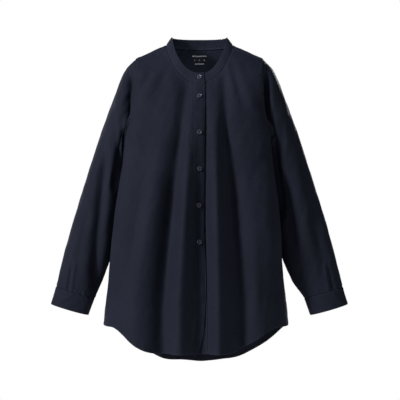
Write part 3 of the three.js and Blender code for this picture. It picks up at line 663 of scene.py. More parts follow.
def cotton_material():
    material = bpy.data.materials.new("navy_cotton")
    nodes, links, shader = node_setup(material)
    uv = nodes.new("ShaderNodeUVMap")
    uv.uv_map = "cut"
    cut = uv.outputs["UV"]
    split = nodes.new("ShaderNodeSeparateXYZ")
    links.new(cut, split.inputs[0])
    wavy = noise(nodes, links, cut, 90, detail=2)
    waver = math_node(nodes, links, "MULTIPLY", wavy, 5.0)
    yarns = []
    for axis in ("X", "Y"):
        phase = math_node(nodes, links, "MULTIPLY_ADD", split.outputs[axis], 2 * math.pi / YARN, waver)
        yarns.append(math_node(nodes, links, "SINE", phase))
    weave = math_node(nodes, links, "MULTIPLY", *yarns)
    slubs = [
        noise(nodes, links, cut, 1.0, (1500, 90, 1), 2),
        noise(nodes, links, cut, 1.0, (90, 1500, 1), 2),
    ]
    slub = math_node(nodes, links, "ADD", *slubs)
    slub_colour = ramp(nodes, links, math_node(nodes, links, "MULTIPLY", slub, 0.5),
                       [(0.36, NAVY["dark"]), (0.5, NAVY["middle"]), (0.66, NAVY["light"])])
    wide = noise(nodes, links, cut, 9, detail=4)
    clouds = ramp(nodes, links, wide, [(0.3, (0.84, 0.84, 0.86)), (0.7, (1.14, 1.13, 1.10))])
    colour = mix(nodes, links, 1.0, slub_colour, clouds, "MULTIPLY")
    # Lighter toward seams and folded edges: partly real wear, partly a painted highlight where their ridges
    # catch the light.
    seam = nodes.new("ShaderNodeAttribute")
    seam.attribute_name = "seam"
    near = math_node(nodes, links, "MULTIPLY", seam.outputs["Fac"], -0.45)
    edge = math_node(nodes, links, "EXPONENT", near)
    wear_and_painted_highlight = math_node(nodes, links, "MULTIPLY", edge, noise(nodes, links, cut, 160, detail=3))
    colour = mix(nodes, links, math_node(nodes, links, "MULTIPLY", wear_and_painted_highlight, 0.5), colour, NAVY["worn"])
    links.new(colour, shader.inputs["Base Color"])
    rough = math_node(nodes, links, "MULTIPLY_ADD", slub, 0.08, 0.72)
    links.new(rough, shader.inputs["Roughness"])
    shader.inputs["Specular IOR Level"].default_value = 0.2
    shader.inputs["Sheen Weight"].default_value = 0.03
    shader.inputs["Sheen Roughness"].default_value = 0.45
    shader.inputs["Sheen Tint"].default_value = (0.55, 0.62, 0.85, 1)
    weave_bump = bump(nodes, links, weave, 0.00009, 0.35)
    slub_bump = bump(nodes, links, slub, 0.00022, 0.35, weave_bump)
    crumple = noise(nodes, links, cut, 60, detail=5)
    links.new(bump(nodes, links, crumple, 0.0009, 0.35, slub_bump), shader.inputs["Normal"])
    return material


def thread_finish():
    material = bpy.data.materials.new("navy_thread")
    nodes, links, shader = node_setup(material)
    place = nodes.new("ShaderNodeTexCoord").outputs["Object"]
    twist = noise(nodes, links, place, 2600, detail=1)
    colour = ramp(nodes, links, twist, [(0.3, (0.009, 0.0115, 0.023)), (0.7, (0.015, 0.0185, 0.035))])
    links.new(colour, shader.inputs["Base Color"])
    shader.inputs["Roughness"].default_value = 0.75
    shader.inputs["Specular IOR Level"].default_value = 0.15
    links.new(bump(nodes, links, twist, 0.00006, 0.4), shader.inputs["Normal"])
    return material


def horn_material():
    material = bpy.data.materials.new("button_horn")
    nodes, links, shader = node_setup(material)
    place = nodes.new("ShaderNodeTexCoord").outputs["Object"]
    swirl = noise(nodes, links, place, 240, (1, 1, 2.4), 4)
    colour = ramp(nodes, links, swirl, [(0.32, (0.022, 0.027, 0.042)), (0.52, (0.05, 0.058, 0.078)),
                                        (0.72, (0.10, 0.11, 0.13))])
    links.new(colour, shader.inputs["Base Color"])
    fine = noise(nodes, links, place, 2200, detail=2)
    links.new(math_node(nodes, links, "MULTIPLY_ADD", fine, 0.16, 0.22), shader.inputs["Roughness"])
    shader.inputs["Coat Weight"].default_value = 0.25
    links.new(bump(nodes, links, fine, 0.00004, 0.2), shader.inputs["Normal"])
    return material


def print_material():
    material = bpy.data.materials.new("pale_print")
    nodes, links, shader = node_setup(material)
    place = nodes.new("ShaderNodeTexCoord").outputs["Object"]
    grain = noise(nodes, links, place, 1800, detail=3)
    colour = ramp(nodes, links, grain, [(0.3, (0.20, 0.21, 0.24)), (0.7, (0.36, 0.37, 0.40))])
    links.new(colour, shader.inputs["Base Color"])
    shader.inputs["Roughness"].default_value = 0.8
    links.new(bump(nodes, links, grain, 0.00008, 0.4), shader.inputs["Normal"])
    return material


cotton = cotton_material()
thread_material = thread_finish()
horn = horn_material()
pale_print = print_material()


# The body's cloth
def skin(angle, at):
    """The body's surface with all its folds and creases."""
    angle, at = np.broadcast_arrays(np.asarray(angle, float), np.asarray(at, float))
    plain = plain_body(angle, at)
    normal = normal_of(plain_body, angle, at)
    depth = fold_depth(angle, plain)
    depth = depth + line_creases(FRONT_CREASES, plain, -normal[..., 1])
    depth = depth + line_creases(BACK_CREASES, plain, normal[..., 1])
    depth = depth + ripples(plain, BROAD_WAVES, 0.4) + ripples(plain, FINE_WAVES, 0.12)
    return plain + normal * depth[..., None]


def body_rows():
    """Each row of a front or the back, hem to neck: its ring, its stretch of the edge, its armhole turn."""
    hem = np.array(FREE_STEPS) / 470
    side = np.concatenate([hem, np.linspace(hem[-1], ARMHOLE["low"], LOWER_COUNT)[1:-1]])
    turn = np.linspace(0, math.pi, ARMHOLE_COUNT)
    hole = lerp(ARMHOLE["low"], ARMHOLE["high"], (1 - np.cos(turn)) / 2)
    neck = 1 - np.array(SEAM_STEPS[::-1]) / 640
    shoulder = np.concatenate([np.linspace(ARMHOLE["high"], neck[0], SHOULDER_COUNT)[1:-1], neck])
    at = np.concatenate([side, hole, shoulder])
    stretch = np.repeat(["side", "armhole", "shoulder"], [len(side), len(hole), len(shoulder)])
    turns = np.concatenate([np.zeros(len(side)), turn, np.full(len(shoulder), math.pi)])
    return at, stretch, turns


ROW_AT, ROW_STRETCH, ROW_TURN = body_rows()


def armhole_angle(turn, swing):
    share = (1 - np.cos(turn)) / 2
    return lerp(ARMHOLE["seam"], ARMHOLE["shoulder"], share) + swing * np.sin(turn)


def outer_edge(swing):
    """The angle of a panel's outer edge in each row."""
    share = np.clip((ROW_AT - ARMHOLE["high"]) / (1 - ARMHOLE["high"]), 0, 1)
    shoulder = lerp(ARMHOLE["shoulder"], NECK_SEAM_ANGLE, share)
    angle = np.where(ROW_STRETCH == "armhole", armhole_angle(ROW_TURN, swing), shoulder)
    return np.where(ROW_STRETCH == "side", ARMHOLE["seam"], angle)


def lap_inset(x):
    return LAP_INSET * (1 - smooth(LAP_FADE["from"], LAP_FADE["to"], x))


HEM_WIDE = 6.2
PANEL_SEAMS = [
    dict(edge="side", fell=6.5, stitched=5.6, first=len(FREE_STEPS), last=-5),
    dict(edge="armhole", fell=8.0, stitched=6.9, first=14, last=None),
    dict(edge="shoulder", fell=6.0, stitched=5.0, first=0, last=-4),
]


def panel(name, points, edges, band_distance, outward=1):
    """A front or the back, from its plain grid: seams, hem, puckers, thickness, stitches and cut."""
    normals = grid_normals(points) * outward
    hem_distance = run_length(points, 0)
    depth = np.zeros(points.shape[:-1])
    # Distance to the nearest seam or edge, where the cloth is lightened for wear and a painted highlight.
    worn = hem_distance.copy()
    for seam in PANEL_SEAMS:
        rows = ROW_STRETCH == seam["edge"]
        distance = nearest_to(points, [points[rows][:, edge] for edge in edges])
        depth += seam_relief(distance, seam["fell"])
        depth += bell(distance - 8, 6) * ripples(points, PUCKER_WAVES, 0.3)
        worn = np.minimum(worn, distance)
    neck = nearest_to(points, [points[-1]])
    depth += seam_relief(neck) + bell(neck - 4, 5) * ripples(points, PUCKER_WAVES, 0.35)
    if band_distance is not None:
        depth -= 0.35 * bell(band_distance, 0.8)
        depth += bell(band_distance - 5, 5) * ripples(points, PUCKER_WAVES, 0.25)
        worn = np.minimum(worn, band_distance)
    turned_up = smooth(HEM_WIDE + 0.7, HEM_WIDE - 0.7, hem_distance)
    depth += 0.25 * turned_up + bell(hem_distance - HEM_WIDE, 5) * ripples(points, PUCKER_WAVES, 0.35)
    thick, drop = edge_lip(CLOTH + 0.5 * turned_up, hem_distance)
    outer = points + normals * (depth - drop)[..., None]
    uv = np.stack([outward * run_length(points, 1), hem_distance], axis=-1)
    seam = np.minimum(worn, neck)
    obj = cloth_shell(name + "_cloth", outer, thick, cotton, outward=outward, uv=uv, seam=seam)

    across = run_length(points, 1)
    runs = [line_at(*turned(outer, normals, hem_distance), HEM_WIDE - 0.9)]
    for seam in PANEL_SEAMS:
        rows = np.flatnonzero(ROW_STRETCH == seam["edge"])[seam["first"]:seam["last"]]
        for edge in edges:
            distance = np.abs(across - across[:, edge][:, None])[rows]
            runs.append(line_at(outer[rows], normals[rows], distance, seam["stitched"]))
    sewn(name, obj, runs)


def front(name, side):
    line = UPPER_BAND_LINE if side < 0 else UNDER_BAND_LINE
    z = column(BODY_RINGS, "at", "cf", ROW_AT)
    inner = angle_at_x(column(line, "z", "x", z) + side * (BAND_HALF + 0.15), ROW_AT)[:, None]
    outer = outer_edge(-ARMHOLE["front"])[:, None]
    shares = shares_from_edges(190, SEAM_STEPS, SEAM_STEPS, FRONT_COLUMNS)
    angle = lerp(inner, side * ARMHOLE["seam"], shares) + side * (outer - ARMHOLE["seam"]) * shares**2
    points = skin(angle, ROW_AT[:, None])
    if side > 0:
        points = points - grid_normals(points) * lap_inset(points[..., 0])[..., None]
    panel(name, points, [-1], run_length(points, 1), outward=side)


def back():
    shares = 2 * shares_from_edges(430, SEAM_STEPS, SEAM_STEPS, BACK_COLUMNS) - 1
    outer = outer_edge(ARMHOLE["back"])[:, None]
    angle = 180 + (180 - ARMHOLE["seam"]) * shares - (outer - ARMHOLE["seam"]) * shares * np.abs(shares)
    panel("back", skin(angle, ROW_AT[:, None]), [0, -1], None)


def band(name, line, inset):
    """A button band on the line of its front: the upper stands proud of the front, the under lies behind."""
    middle = column(line, "z", "x", column(BODY_RINGS, "at", "cf", ROW_AT))[:, None]
    shares = shares_from_edges(2 * BAND_HALF, STRIP_FREE_STEPS, STRIP_FREE_STEPS, 16)
    at = ROW_AT[:, None]
    points = skin(angle_at_x(middle + BAND_HALF * (2 * shares - 1), at), at)
    normals = grid_normals(points)
    across, up = run_length(points, 1), run_length(points, 0)
    edge = np.minimum(across, across[:, -1:] - across)
    pucker = bell(edge - 2.6, 2.4) * ripples(points, PUCKER_WAVES, 0.3) - 0.22 * bell(edge - 2.6, 0.7)
    thick, drop = edge_lip(DOUBLE, np.minimum(across[:, -1:] - across, up))
    rise = BAND_RISE * smooth(-2, 6, across)
    outer = points + normals * (rise - inset + pucker - drop)[..., None]
    uv = np.stack([across, up], axis=-1)
    obj = cloth_shell(name + "_cloth", outer, thick, cotton, uv=uv, seam=edge)
    runs = [
        line_at(outer, normals, across, 2.6),
        line_at(outer, normals, across[:, -1:] - across, 2.6),
        line_at(*turned(outer, normals, up), HEM_WIDE - 0.9),
    ]
    sewn(name, obj, runs)


# Sleeves and cuffs
def sleeve_ring(side, at):
    ring = {name: column(SLEEVE_RINGS, "at", name, at) for name in SLEEVE_RINGS[0] if name != "at"}
    if side > 0:
        ring["innerX"] = ring["innerX"] - ring["tuck"]
    return ring


def ring_point(side, ring, turn):
    """A point of a ring given by its edges seen from the front: turn 0 is the outer edge, 90 the front."""
    share = (1 + np.cos(turn * DEGREE)) / 2
    sine = np.sin(turn * DEGREE)
    x = side * lerp(ring["innerX"], ring["outerX"], share)
    y = ring["back"] - ring["depth"] * np.where(sine > 0, np.abs(sine) ** ring.get("full", 1.0), sine)
    return np.stack(np.broadcast_arrays(x, y, lerp(ring["innerZ"], ring["outerZ"], share)), axis=-1)


def armhole_loop(side, turn):
    """The armhole's seam on the body at a sleeve's turns."""
    around = turn % 360
    in_front = around <= 180
    hole_turn = np.abs(180 - around) * DEGREE
    at = lerp(ARMHOLE["low"], ARMHOLE["high"], (1 - np.cos(hole_turn)) / 2)
    swing = np.where(in_front, -ARMHOLE["front"], ARMHOLE["back"])
    return skin(side * armhole_angle(hole_turn, swing), at)


SLEEVE_LENGTH = 610
TONGUE = dict(reach=2.2, under=0.7)  # a sleeve's edge lies under the body's at the armhole
TOWER = dict(turn=279, half=10, height=125, point=12)


def sleeve(name, side, creases, fine_creases):
    turn = 180 + 360 * np.arange(SLEEVE_COLUMNS) / SLEEVE_COLUMNS
    at = shares_from_edges(SLEEVE_LENGTH, SEAM_STEPS, STRIP_SEAM_STEPS, SLEEVE_ROWS)[:, None]
    offset = armhole_loop(side, turn) - ring_point(side, sleeve_ring(side, 0.0), turn)
    rings = ring_point(side, sleeve_ring(side, at), turn[None])
    points = rings + offset[None] * smooth(CAP_REACH, 0, at)[..., None]
    normals = grid_normals(points, wrap=True) * side
    fade = smooth(0, CREASE_START, at)
    depth = fade * line_creases(creases, points, -normals[..., 1])
    depth += smooth(0, 0.05, at) * line_creases(fine_creases, points, -normals[..., 1])
    depth += smooth(0, 0.03, at) * (ripples(points, BROAD_WAVES, 0.4) + ripples(points, FINE_WAVES, 0.12))
    points = points + normals * depth[..., None]
    normals = grid_normals(points, wrap=True) * side

    down = run_length(points, 0)
    closed = np.concatenate([points, points[:, :1]], axis=1)
    around = run_length(closed, 1)
    seam = np.minimum(around, around[:, -1:] - around)[:, :-1]
    cuff_distance = down[-1:] - down
    relief = seam_relief(down) + seam_relief(seam, 6.0) * smooth(2, 12, down) + seam_relief(cuff_distance)
    relief += bell(down - 5, 5) * ripples(points, PUCKER_WAVES, 0.35)
    relief += bell(cuff_distance - 6, 9) * ripples(points, PUCKER_WAVES, 0.5)
    tower_column = int(np.argmin(np.abs(turn - TOWER["turn"])))
    from_tower = (around - around[:, tower_column][:, None])[:, :-1]
    top = TOWER["height"] + TOWER["point"] * (1 - np.abs(from_tower) / TOWER["half"])
    inside = smooth(TOWER["half"] + 0.8, TOWER["half"] - 0.8, np.abs(from_tower))
    relief += 0.7 * inside * smooth(top + 0.8, top - 0.8, cuff_distance)
    outer = points + normals * relief[..., None]
    outer[0] += unit(outer[0] - outer[3]) * TONGUE["reach"] - normals[0] * TONGUE["under"]
    uv = np.stack([around[:, :-1], down], axis=-1)
    # Distance to the nearest seam or edge, where the cloth is lightened for wear and a painted highlight.
    worn = np.minimum(np.minimum(down, cuff_distance), seam)
    obj = cloth_shell(name + "_cloth", outer, CLOTH, cotton, wrap=True, outward=side, uv=uv, seam=worn)

    rows = np.flatnonzero((at[:, 0] > 0.02) & (at[:, 0] < 0.985))
    runs = [line_at(outer[rows], normals[rows], around[rows][:, :-1], 4.8)]
    tower_rows = np.flatnonzero((cuff_distance[:, tower_column] < TOWER["height"]) & (at[:, 0] < 0.995))
    for aside in (-TOWER["half"] + 1.6, TOWER["half"] - 1.6):
        runs.append(line_at(outer[tower_rows], normals[tower_rows], from_tower[tower_rows], aside))
    sewn(name, obj, runs)


def cuff_place(side, share, angle):
    """A point of a cuff: from its seam with the sleeve to its edge, from the under end round to the upper."""
    top = SLEEVE_RINGS[-1]
    drop_x = (CUFF_EDGE["outerX"] + CUFF_EDGE["innerX"] - top["outerX"] - top["innerX"]) / 2
    drop_z = (CUFF_EDGE["outerZ"] + CUFF_EDGE["innerZ"] - top["outerZ"] - top["innerZ"]) / 2
    along = lerp(0.2 / math.hypot(drop_x, drop_z), 1, share)
    ring = {name: lerp(top[name], CUFF_EDGE[name], along) for name in CUFF_EDGE}
    ring["back"] = CUFF["back"]
    around = ring_point(side, ring, angle + 1) - ring_point(side, ring, angle - 1)
    normal = unit(np.cross(around, np.array([side * drop_x, 0.0, drop_z]))) * side
    end = CUFF["underEnd"] + 360
    lift = smooth(end - CUFF["ramp"], end, angle) * (DOUBLE + 0.5)
    return ring_point(side, ring, angle) + normal * np.asarray(lift)[..., None], normal


CUFF_CREASES = {
    -1: [
        dict(x0=-296, z0=-594, x1=-338, z1=-620, out=1.3, wide=4),
        dict(x0=-276, z0=-618, x1=-306, z1=-634, out=-1.0, wide=6),
    ],
    1: [
        dict(x0=316, z0=-592, x1=342, z1=-622, out=1.1, wide=5),
        dict(x0=274, z0=-616, x1=300, z1=-634, out=-1.0, wide=6),
    ],
}


def cuff(name, side):
    shares = shares_from_edges(42, STRIP_SEAM_STEPS, STRIP_FREE_STEPS, 16)[:, None]
    reach = 360 + CUFF["lap"]
    angles = CUFF["underEnd"] + reach * shares_from_edges(248, STRIP_FREE_STEPS, STRIP_FREE_STEPS, 128)[None]
    points, normals = cuff_place(side, shares, angles)
    down, around = run_length(points, 0), run_length(points, 1)
    lower = down[-1:] - down
    end = np.minimum(around, around[:, -1:] - around)
    free = np.minimum(lower, end)
    depth = line_creases(CUFF_CREASES[side], points, -normals[..., 1]) + ripples(points, BROAD_WAVES, 0.25)
    depth += bell(free - 5, 3) * ripples(points, PUCKER_WAVES, 0.25) - 0.2 * bell(free - 5, 0.7)
    depth += bell(down - 3, 5) * ripples(points, PUCKER_WAVES, 0.45)
    thick, drop = edge_lip(DOUBLE, free)
    outer = points + normals * (BAND_RISE + depth - drop - 0.7 * bell(down, 1.2))[..., None]
    uv = np.stack([around, down], axis=-1)
    obj = cloth_shell(name + "_cloth", outer, thick, cotton, outward=side, uv=uv, seam=np.minimum(free, down))
    runs = [
        line_at(*turned(outer, normals, lower), 5.0),
        line_at(*turned(outer, normals, down), 2.0),
        line_at(outer, normals, around, 5.0),
        line_at(outer, normals, around[:, -1:] - around, 5.0),
    ]
    sewn(name, obj, runs)


# The collar
def collar_place(around, up):
    """A point of the collar: around in degrees from the front by the wearer's right, up from 0 to 1."""
    around, up = np.broadcast_arrays(np.asarray(around, float), np.asarray(up, float))
    sine, cosine = np.sin(-around * DEGREE), np.cos(-around * DEGREE)
    base = skin(-around, 1.0)
    top_z = np.where(cosine > 0, COLLAR_TOP["cf"], COLLAR_TOP["cb"])
    top = np.stack([
        COLLAR_TOP["half"] * signed_power(sine, ROUND),
        np.where(cosine > 0, -COLLAR_TOP["front"], COLLAR_TOP["back"]) * np.abs(cosine) ** ROUND,
        COLLAR_TOP["side"] + (top_z - COLLAR_TOP["side"]) * np.abs(cosine) ** SHOULDER_ROUND,
    ], axis=-1)
    return base + (top - base) * lerp(-0.03, 1, up)[..., None]


def collar():
    lap = angle_at_x(COLLAR_LAP, 1.0)
    reach = 360 + 2 * lap
    arounds = -lap + reach * shares_from_edges(440, STRIP_FREE_STEPS, STRIP_FREE_STEPS, 240)[None]
    ups = shares_from_edges(26, STRIP_SEAM_STEPS, STRIP_FREE_STEPS, 14)[:, None]
    points = collar_place(arounds, ups)
    normals = -grid_normals(points)
    points = points - normals * np.where(arounds > 270, lap_inset(points[..., 0]), 0)[..., None]
    up, along = run_length(points, 0), run_length(points, 1)
    upper = up[-1:] - up
    end = np.minimum(along, along[:, -1:] - along)
    free = np.minimum(upper, end)
    depth = 0.5 * np.sin(math.pi * np.clip(up / 26, 0, 1)) - 0.9 * bell(up, 1.2)
    depth += bell(up - 3, 4) * ripples(points, PUCKER_WAVES, 0.4) + ripples(points, BROAD_WAVES, 0.3)
    depth += bell(free - 3, 2.5) * ripples(points, PUCKER_WAVES, 0.2) - 0.2 * bell(free - 3, 0.7)
    thick, drop = edge_lip(DOUBLE, free)
    outer = points + normals * (depth - drop)[..., None]
    uv = np.stack([along, up], axis=-1)
    obj = cloth_shell("collar_cloth", outer, thick, cotton, outward=-1, uv=uv, seam=np.minimum(free, up))
    runs = [
        line_at(*turned(outer, normals, upper), 3.0),
        line_at(*turned(outer, normals, up), 2.2),
        line_at(outer, normals, along, 3.0),
        line_at(outer, normals, along[:, -1:] - along, 3.0),
    ]
    sewn("collar", obj, runs)


# Buttons
BUTTON_PROFILE = [
    dict(r=0.0, h=0.0), dict(r=4.6, h=0.0), dict(r=5.3, h=0.25), dict(r=5.62, h=0.7), dict(r=5.7, h=1.25),
    dict(r=5.62, h=1.8), dict(r=5.35, h=2.25), dict(r=4.95, h=2.45), dict(r=4.6, h=2.42), dict(r=4.3, h=2.2),
    dict(r=4.0, h=1.92), dict(r=3.5, h=1.8), dict(r=2.0, h=1.78), dict(r=0.0, h=1.78),
]
HOLES = dict(radius=0.75, apart=1.3)
BUTTON_SIDES = 48


def temporary(bm, name):
    mesh = bpy.data.meshes.new(name)
    bm.to_mesh(mesh)
    bm.free()
    obj = bpy.data.objects.new(name, mesh)
    bpy.context.scene.collection.objects.link(obj)
    return obj


def button_mesh():
    """A four-hole button with a rounded rim and a shallow well, lying on its back at z = 0."""
    disc = bmesh.new()
    profile = [disc.verts.new((p["r"] * MM, 0, p["h"] * MM)) for p in BUTTON_PROFILE]
    edges = [disc.edges.new(pair) for pair in zip(profile[:-1], profile[1:])]
    outline = profile + edges
    bmesh.ops.spin(disc, geom=outline, cent=(0, 0, 0), axis=(0, 0, 1), angle=2 * math.pi, steps=BUTTON_SIDES)
    bmesh.ops.remove_doubles(disc, verts=disc.verts, dist=1e-6)
    bmesh.ops.recalc_face_normals(disc, faces=disc.faces)
    button = temporary(disc, "button_form")
    drill = bmesh.new()
    for x in (-1, 1):
        for y in (-1, 1):
            place = Matrix.Translation((x * HOLES["apart"] * MM, y * HOLES["apart"] * MM, MM))
            bmesh.ops.create_cone(drill, cap_ends=True, segments=20, radius1=HOLES["radius"] * MM,
                                  radius2=HOLES["radius"] * MM, depth=6 * MM, matrix=place)
    holes = temporary(drill, "button_holes")
    cut = button.modifiers.new("holes", "BOOLEAN")
    cut.operation = "DIFFERENCE"
    cut.object = holes
    cut.solver = "EXACT"
    depsgraph = bpy.context.evaluated_depsgraph_get()
    mesh = bpy.data.meshes.new_from_object(button.evaluated_get(depsgraph))
    for obj in (button, holes):
        bpy.data.objects.remove(obj)
    mesh.materials.clear()
    mesh.materials.append(horn)
    for face in mesh.polygons:
        face.use_smooth = abs(face.normal.z) < 0.999 or face.center.z > 0
    return mesh


def seat_of(surface, across, up, rim, cover, seat=BAND_RISE):
    """Where a button lies on a surface: over the four points that its rim would touch."""
    spots = [surface(across, up)] + [surface(across + a * rim[0], up + b * rim[1])
                                    for a, b in ((-1, 0), (1, 0), (0, -1), (0, 1))]
    centre, left, right, low, high = [np.asarray(spot, float).reshape(3) for spot in spots]
    normal = unit(np.cross(right - left, high - low))
    if normal @ cover < 0:
        normal = -normal
    heights = [(spot - centre) @ normal for spot in (left, right, low, high)]
    lift = seat + BUTTON_LIFT + max(0, *heights)
    turn = Vector((0, 0, 1)).rotation_difference(Vector(normal)).to_matrix().to_4x4()
    return Matrix.Translation(Vector((centre + normal * lift) * MM)) @ turn


def ring_at_front_height(z):
    rings = np.linspace(0, 1, 4001)
    return float(np.interp(z, column(BODY_RINGS, "at", "cf", rings), rings))


def on_front(x, at):
    return skin(angle_at_x(x, at), at)


def buttonhole(surface, across, up, step_across, step_up, long_way, reach):
    """A slit with satin stitches round it: bars across the slit on both sides of it."""
    blocks = []
    count = int(2 * reach / 0.42)
    for side in (-1, 1):
        starts, ends = [], []
        for k in range(count):
            along = -reach + 2 * reach * (k + 0.5) / count
            for spots, aside in ((starts, 0.12), (ends, 1.05)):
                a, b = (aside * side, along) if long_way == "up" else (along, aside * side)
                spots.append(np.asarray(surface(across + a * step_across, up + b * step_up)).reshape(3))
        starts, ends = np.array(starts), np.array(ends)
        rows = np.stack([starts, ends], axis=1)
        normals = unit(np.cross(rows[:, 1] - rows[:, 0], np.gradient(starts, axis=0)))
        normals = np.where((normals @ HOLE_FACING)[:, None] < 0, -normals, normals)
        blocks.append(bars(starts + normals * HOLE_RISE, ends + normals * HOLE_RISE, normals, 0.24, 0.05))
    return blocks


HOLE_FACING = np.array([0.0, -1.0, 0.0])
HOLE_RISE = 0.65


def thread_on(place):
    """Two strands of thread between a button's holes, in the shirt's frame."""
    blocks = []
    apart = HOLES["apart"]
    for y in (-apart, apart):
        for shift in (-0.22, 0.22):
            starts = np.array([[-apart, y + shift, 1.5]])
            ends = np.array([[apart, y + shift, 1.5]])
            points, faces = bars(starts, ends, np.array([[0.0, 0.0, 1.0]]), 0.3, -0.25)
            moved = np.array([place @ Vector(p * MM) for p in points]) / MM
            blocks.append((moved, faces))
    return blocks


FORWARD, BACKWARD = np.array([0.0, -1.0, 0.0]), np.array([0.0, 1.0, 0.0])


def buttons():
    seats = {"button_collar": seat_of(collar_place, 0, 0.5, (3, 0.2), FORWARD, 0)}
    for i in range(BAND_BUTTONS):
        z = FIRST_BUTTON_Z - i * BUTTON_PITCH
        x = float(column(UPPER_BAND_LINE, "z", "x", z))
        reach = (BUTTON["radius"], 0.006)
        seats[f"button_{i + 1}"] = seat_of(on_front, x, ring_at_front_height(z), reach, FORWARD)
    for name, side in (("cuff_button_right", -1), ("cuff_button_left", 1)):
        surface = lambda angle, share: cuff_place(side, share, np.asarray(angle, float))[0]
        seats[name] = seat_of(surface, CUFF_BUTTON_ANGLE + 360, 0.5, (8, 0.14), BACKWARD)
    form = button_mesh()
    threads = []
    for name, place in seats.items():
        mesh = form.copy()
        mesh.transform(place)
        obj = bpy.data.objects.new(name + "_horn", mesh)
        bpy.context.scene.collection.objects.link(obj)
        dress(obj, name)
        threads += thread_on(place)
    dress(add_mesh("button_threads", *join_blocks(threads), thread_material), None)
    holes = []
    for i in range(BAND_BUTTONS):
        z = FIRST_BUTTON_Z - i * BUTTON_PITCH - 1.5
        x = float(column(UPPER_BAND_LINE, "z", "x", z))
        on_band = lambda a, b: on_front(a, ring_at_front_height(float(b)))
        holes += buttonhole(on_band, x, z, 1, 1, "up", 7.5)
    dress(add_mesh("buttonholes", *join_blocks(holes), thread_material), None)


# The printed mark inside the neck: plain bars and dots
NECK_MARKS = [
    dict(x=0, z=-19, length=36, radius=1.9),
    dict(x=-12, z=-28, length=3.6, radius=1.8),
    dict(x=0, z=-28, length=3.6, radius=1.8),
    dict(x=12, z=-28, length=3.6, radius=1.8),
    dict(x=0, z=-37, length=24, radius=1.4),
]


def neck_print():
    rings = np.linspace(0.85, 1, 600)
    heights = column(BODY_RINGS, "at", "cb", rings)
    blocks = []
    for mark in NECK_MARKS:
        half = mark["length"] / 2
        along = -half * np.cos(np.linspace(0, math.pi, 15))
        over = np.clip((np.abs(along) - (half - mark["radius"])) / mark["radius"], 0, 1)
        tall = np.maximum(mark["radius"] * np.sqrt(1 - over**2), 0.05)
        z = mark["z"] + np.stack([-tall, tall])
        at = np.interp(z, heights, rings)
        x = np.broadcast_to(mark["x"] + along, at.shape)
        outer = skin(180 - angle_at_x(x, at), at)
        inward = normal_of(plain_body, 180 - angle_at_x(x, at), at)
        faces = [[i, i + 1, i + 16, i + 15] for i in range(14)]
        blocks.append(((outer - inward * (CLOTH + 0.12)).reshape(-1, 3), np.array(faces)))
    mark = add_mesh("neck_print", *join_blocks(blocks), pale_print)
    thicken = mark.modifiers.new("ink", "SOLIDIFY")
    thicken.thickness = 0.1 * MM
    thicken.offset = 0
    dress(mark, None)


# The pieces of the shirt, its buttons and the neck print
front("front_right", -1)
front("front_left", 1)
back()
band("band_upper", UPPER_BAND_LINE, 0)
band("band_under", UNDER_BAND_LINE, LAP_INSET)
collar()
sleeve("sleeve_right", -1, RIGHT_SLEEVE_CREASES, RIGHT_SLEEVE_FINE)
sleeve("sleeve_left", 1, LEFT_SLEEVE_CREASES, LEFT_SLEEVE_FINE)
cuff("cuff_right", -1)
cuff("cuff_left", 1)
buttons()
neck_print()


# The studio
def look_at(obj, target):
    obj.rotation_euler = (Vector(target) - obj.location).to_track_quat("-Z", "Y").to_euler()


def area_light(name, place, target, size, energy, colour=(1, 1, 1)):
    light = bpy.data.lights.new(name, "AREA")
    light.shape = "DISK"
    light.size = size
    light.energy = energy
    light.color = colour
    obj = bpy.data.objects.new(name, light)
    bpy.context.scene.collection.objects.link(obj)
    obj.location = place
    look_at(obj, target)
    obj.visible_camera = False
    return obj


area_light("key", (-3.15, -2.25, 1.2), (0, 0, -0.35), 0.8, 150)
area_light("right_soft", (3.4, -1.3, 0.6), (0, 0, -0.35), 1.2, 17)
area_light("front_fill", (0.3, -3.6, 1.4), (0, 0, -0.3), 1.6, 7)
area_light("back_key", (1.5, 3.5, 1.2), (0, 0, -0.35), 0.9, 130)
area_light("back_fill", (-2.6, 2.8, 0.6), (0, 0, -0.35), 1.4, 26)
neck = bpy.data.lights.new("neck_soft", "SPOT")
neck.energy = 150
neck.spot_size = 6.5 * DEGREE
neck.spot_blend = 0.8
neck.shadow_soft_size = 0.12
neck_light = bpy.data.objects.new("neck_soft", neck)
bpy.context.scene.collection.objects.link(neck_light)
neck_light.location = (-0.25, -2.6, 1.1)
look_at(neck_light, (0.0, 0.05, -0.01))

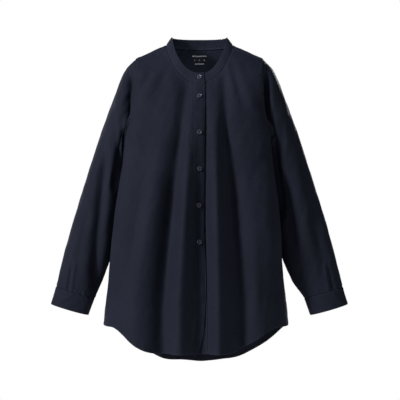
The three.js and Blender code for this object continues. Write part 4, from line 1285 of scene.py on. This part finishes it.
floor_form = bmesh.new()
bmesh.ops.create_circle(floor_form, cap_ends=True, segments=96, radius=2.6)
floor = temporary(floor_form, "floor")
floor.location.z = -1.3
floor_finish = bpy.data.materials.new("pale_floor")
floor_nodes, floor_links, floor_shader = node_setup(floor_finish)
floor_place = floor_nodes.new("ShaderNodeTexCoord").outputs["Object"]
floor_grain = noise(floor_nodes, floor_links, floor_place, 5, detail=3)
FLOOR_TONES = [(0.3, (0.80, 0.80, 0.80)), (0.7, (0.84, 0.84, 0.84))]
floor_colour = ramp(floor_nodes, floor_links, floor_grain, FLOOR_TONES)
floor_links.new(floor_colour, floor_shader.inputs["Base Color"])
floor_shader.inputs["Roughness"].default_value = 0.9
floor_reach = floor_nodes.new("ShaderNodeVectorMath")
floor_reach.operation = "LENGTH"
floor_links.new(floor_place, floor_reach.inputs[0])
FLOOR_FADE = [(0.35, (1, 1, 1)), (0.98, (0, 0, 0))]  # by the distance from its middle: solid, then clear
floor_distance = math_node(floor_nodes, floor_links, "MULTIPLY", floor_reach.outputs["Value"], 0.4)
floor_fade = ramp(floor_nodes, floor_links, floor_distance, FLOOR_FADE)
floor_links.new(floor_fade, floor_shader.inputs["Alpha"])
floor.data.materials.append(floor_finish)

world = bpy.data.worlds.new("pale_room")
bpy.context.scene.world = world
world.use_nodes = True
world_nodes, world_links = world.node_tree.nodes, world.node_tree.links
room = world_nodes["Background"]
room.inputs["Color"].default_value = (1, 1, 1, 1)
room.inputs["Strength"].default_value = 1.0
dim = world_nodes.new("ShaderNodeBackground")
dim.inputs["Color"].default_value = (0.86, 0.92, 1.0, 1)
dim.inputs["Strength"].default_value = 0.048
seen = world_nodes.new("ShaderNodeLightPath")
choose = world_nodes.new("ShaderNodeMixShader")
world_links.new(seen.outputs["Is Camera Ray"], choose.inputs[0])
world_links.new(dim.outputs[0], choose.inputs[1])
world_links.new(room.outputs[0], choose.inputs[2])
world_links.new(choose.outputs[0], world_nodes["World Output"].inputs["Surface"])

camera = bpy.data.cameras.new("camera")
camera.sensor_width = 36
camera.lens = 106.9
viewer = bpy.data.objects.new("camera", camera)
bpy.context.scene.collection.objects.link(viewer)
viewer.location = (0.0014, -2.85, -0.372)
viewer.rotation_euler = (math.pi / 2, 0, 0)
bpy.context.scene.camera = viewer
bpy.context.scene.view_settings.view_transform = "Standard"
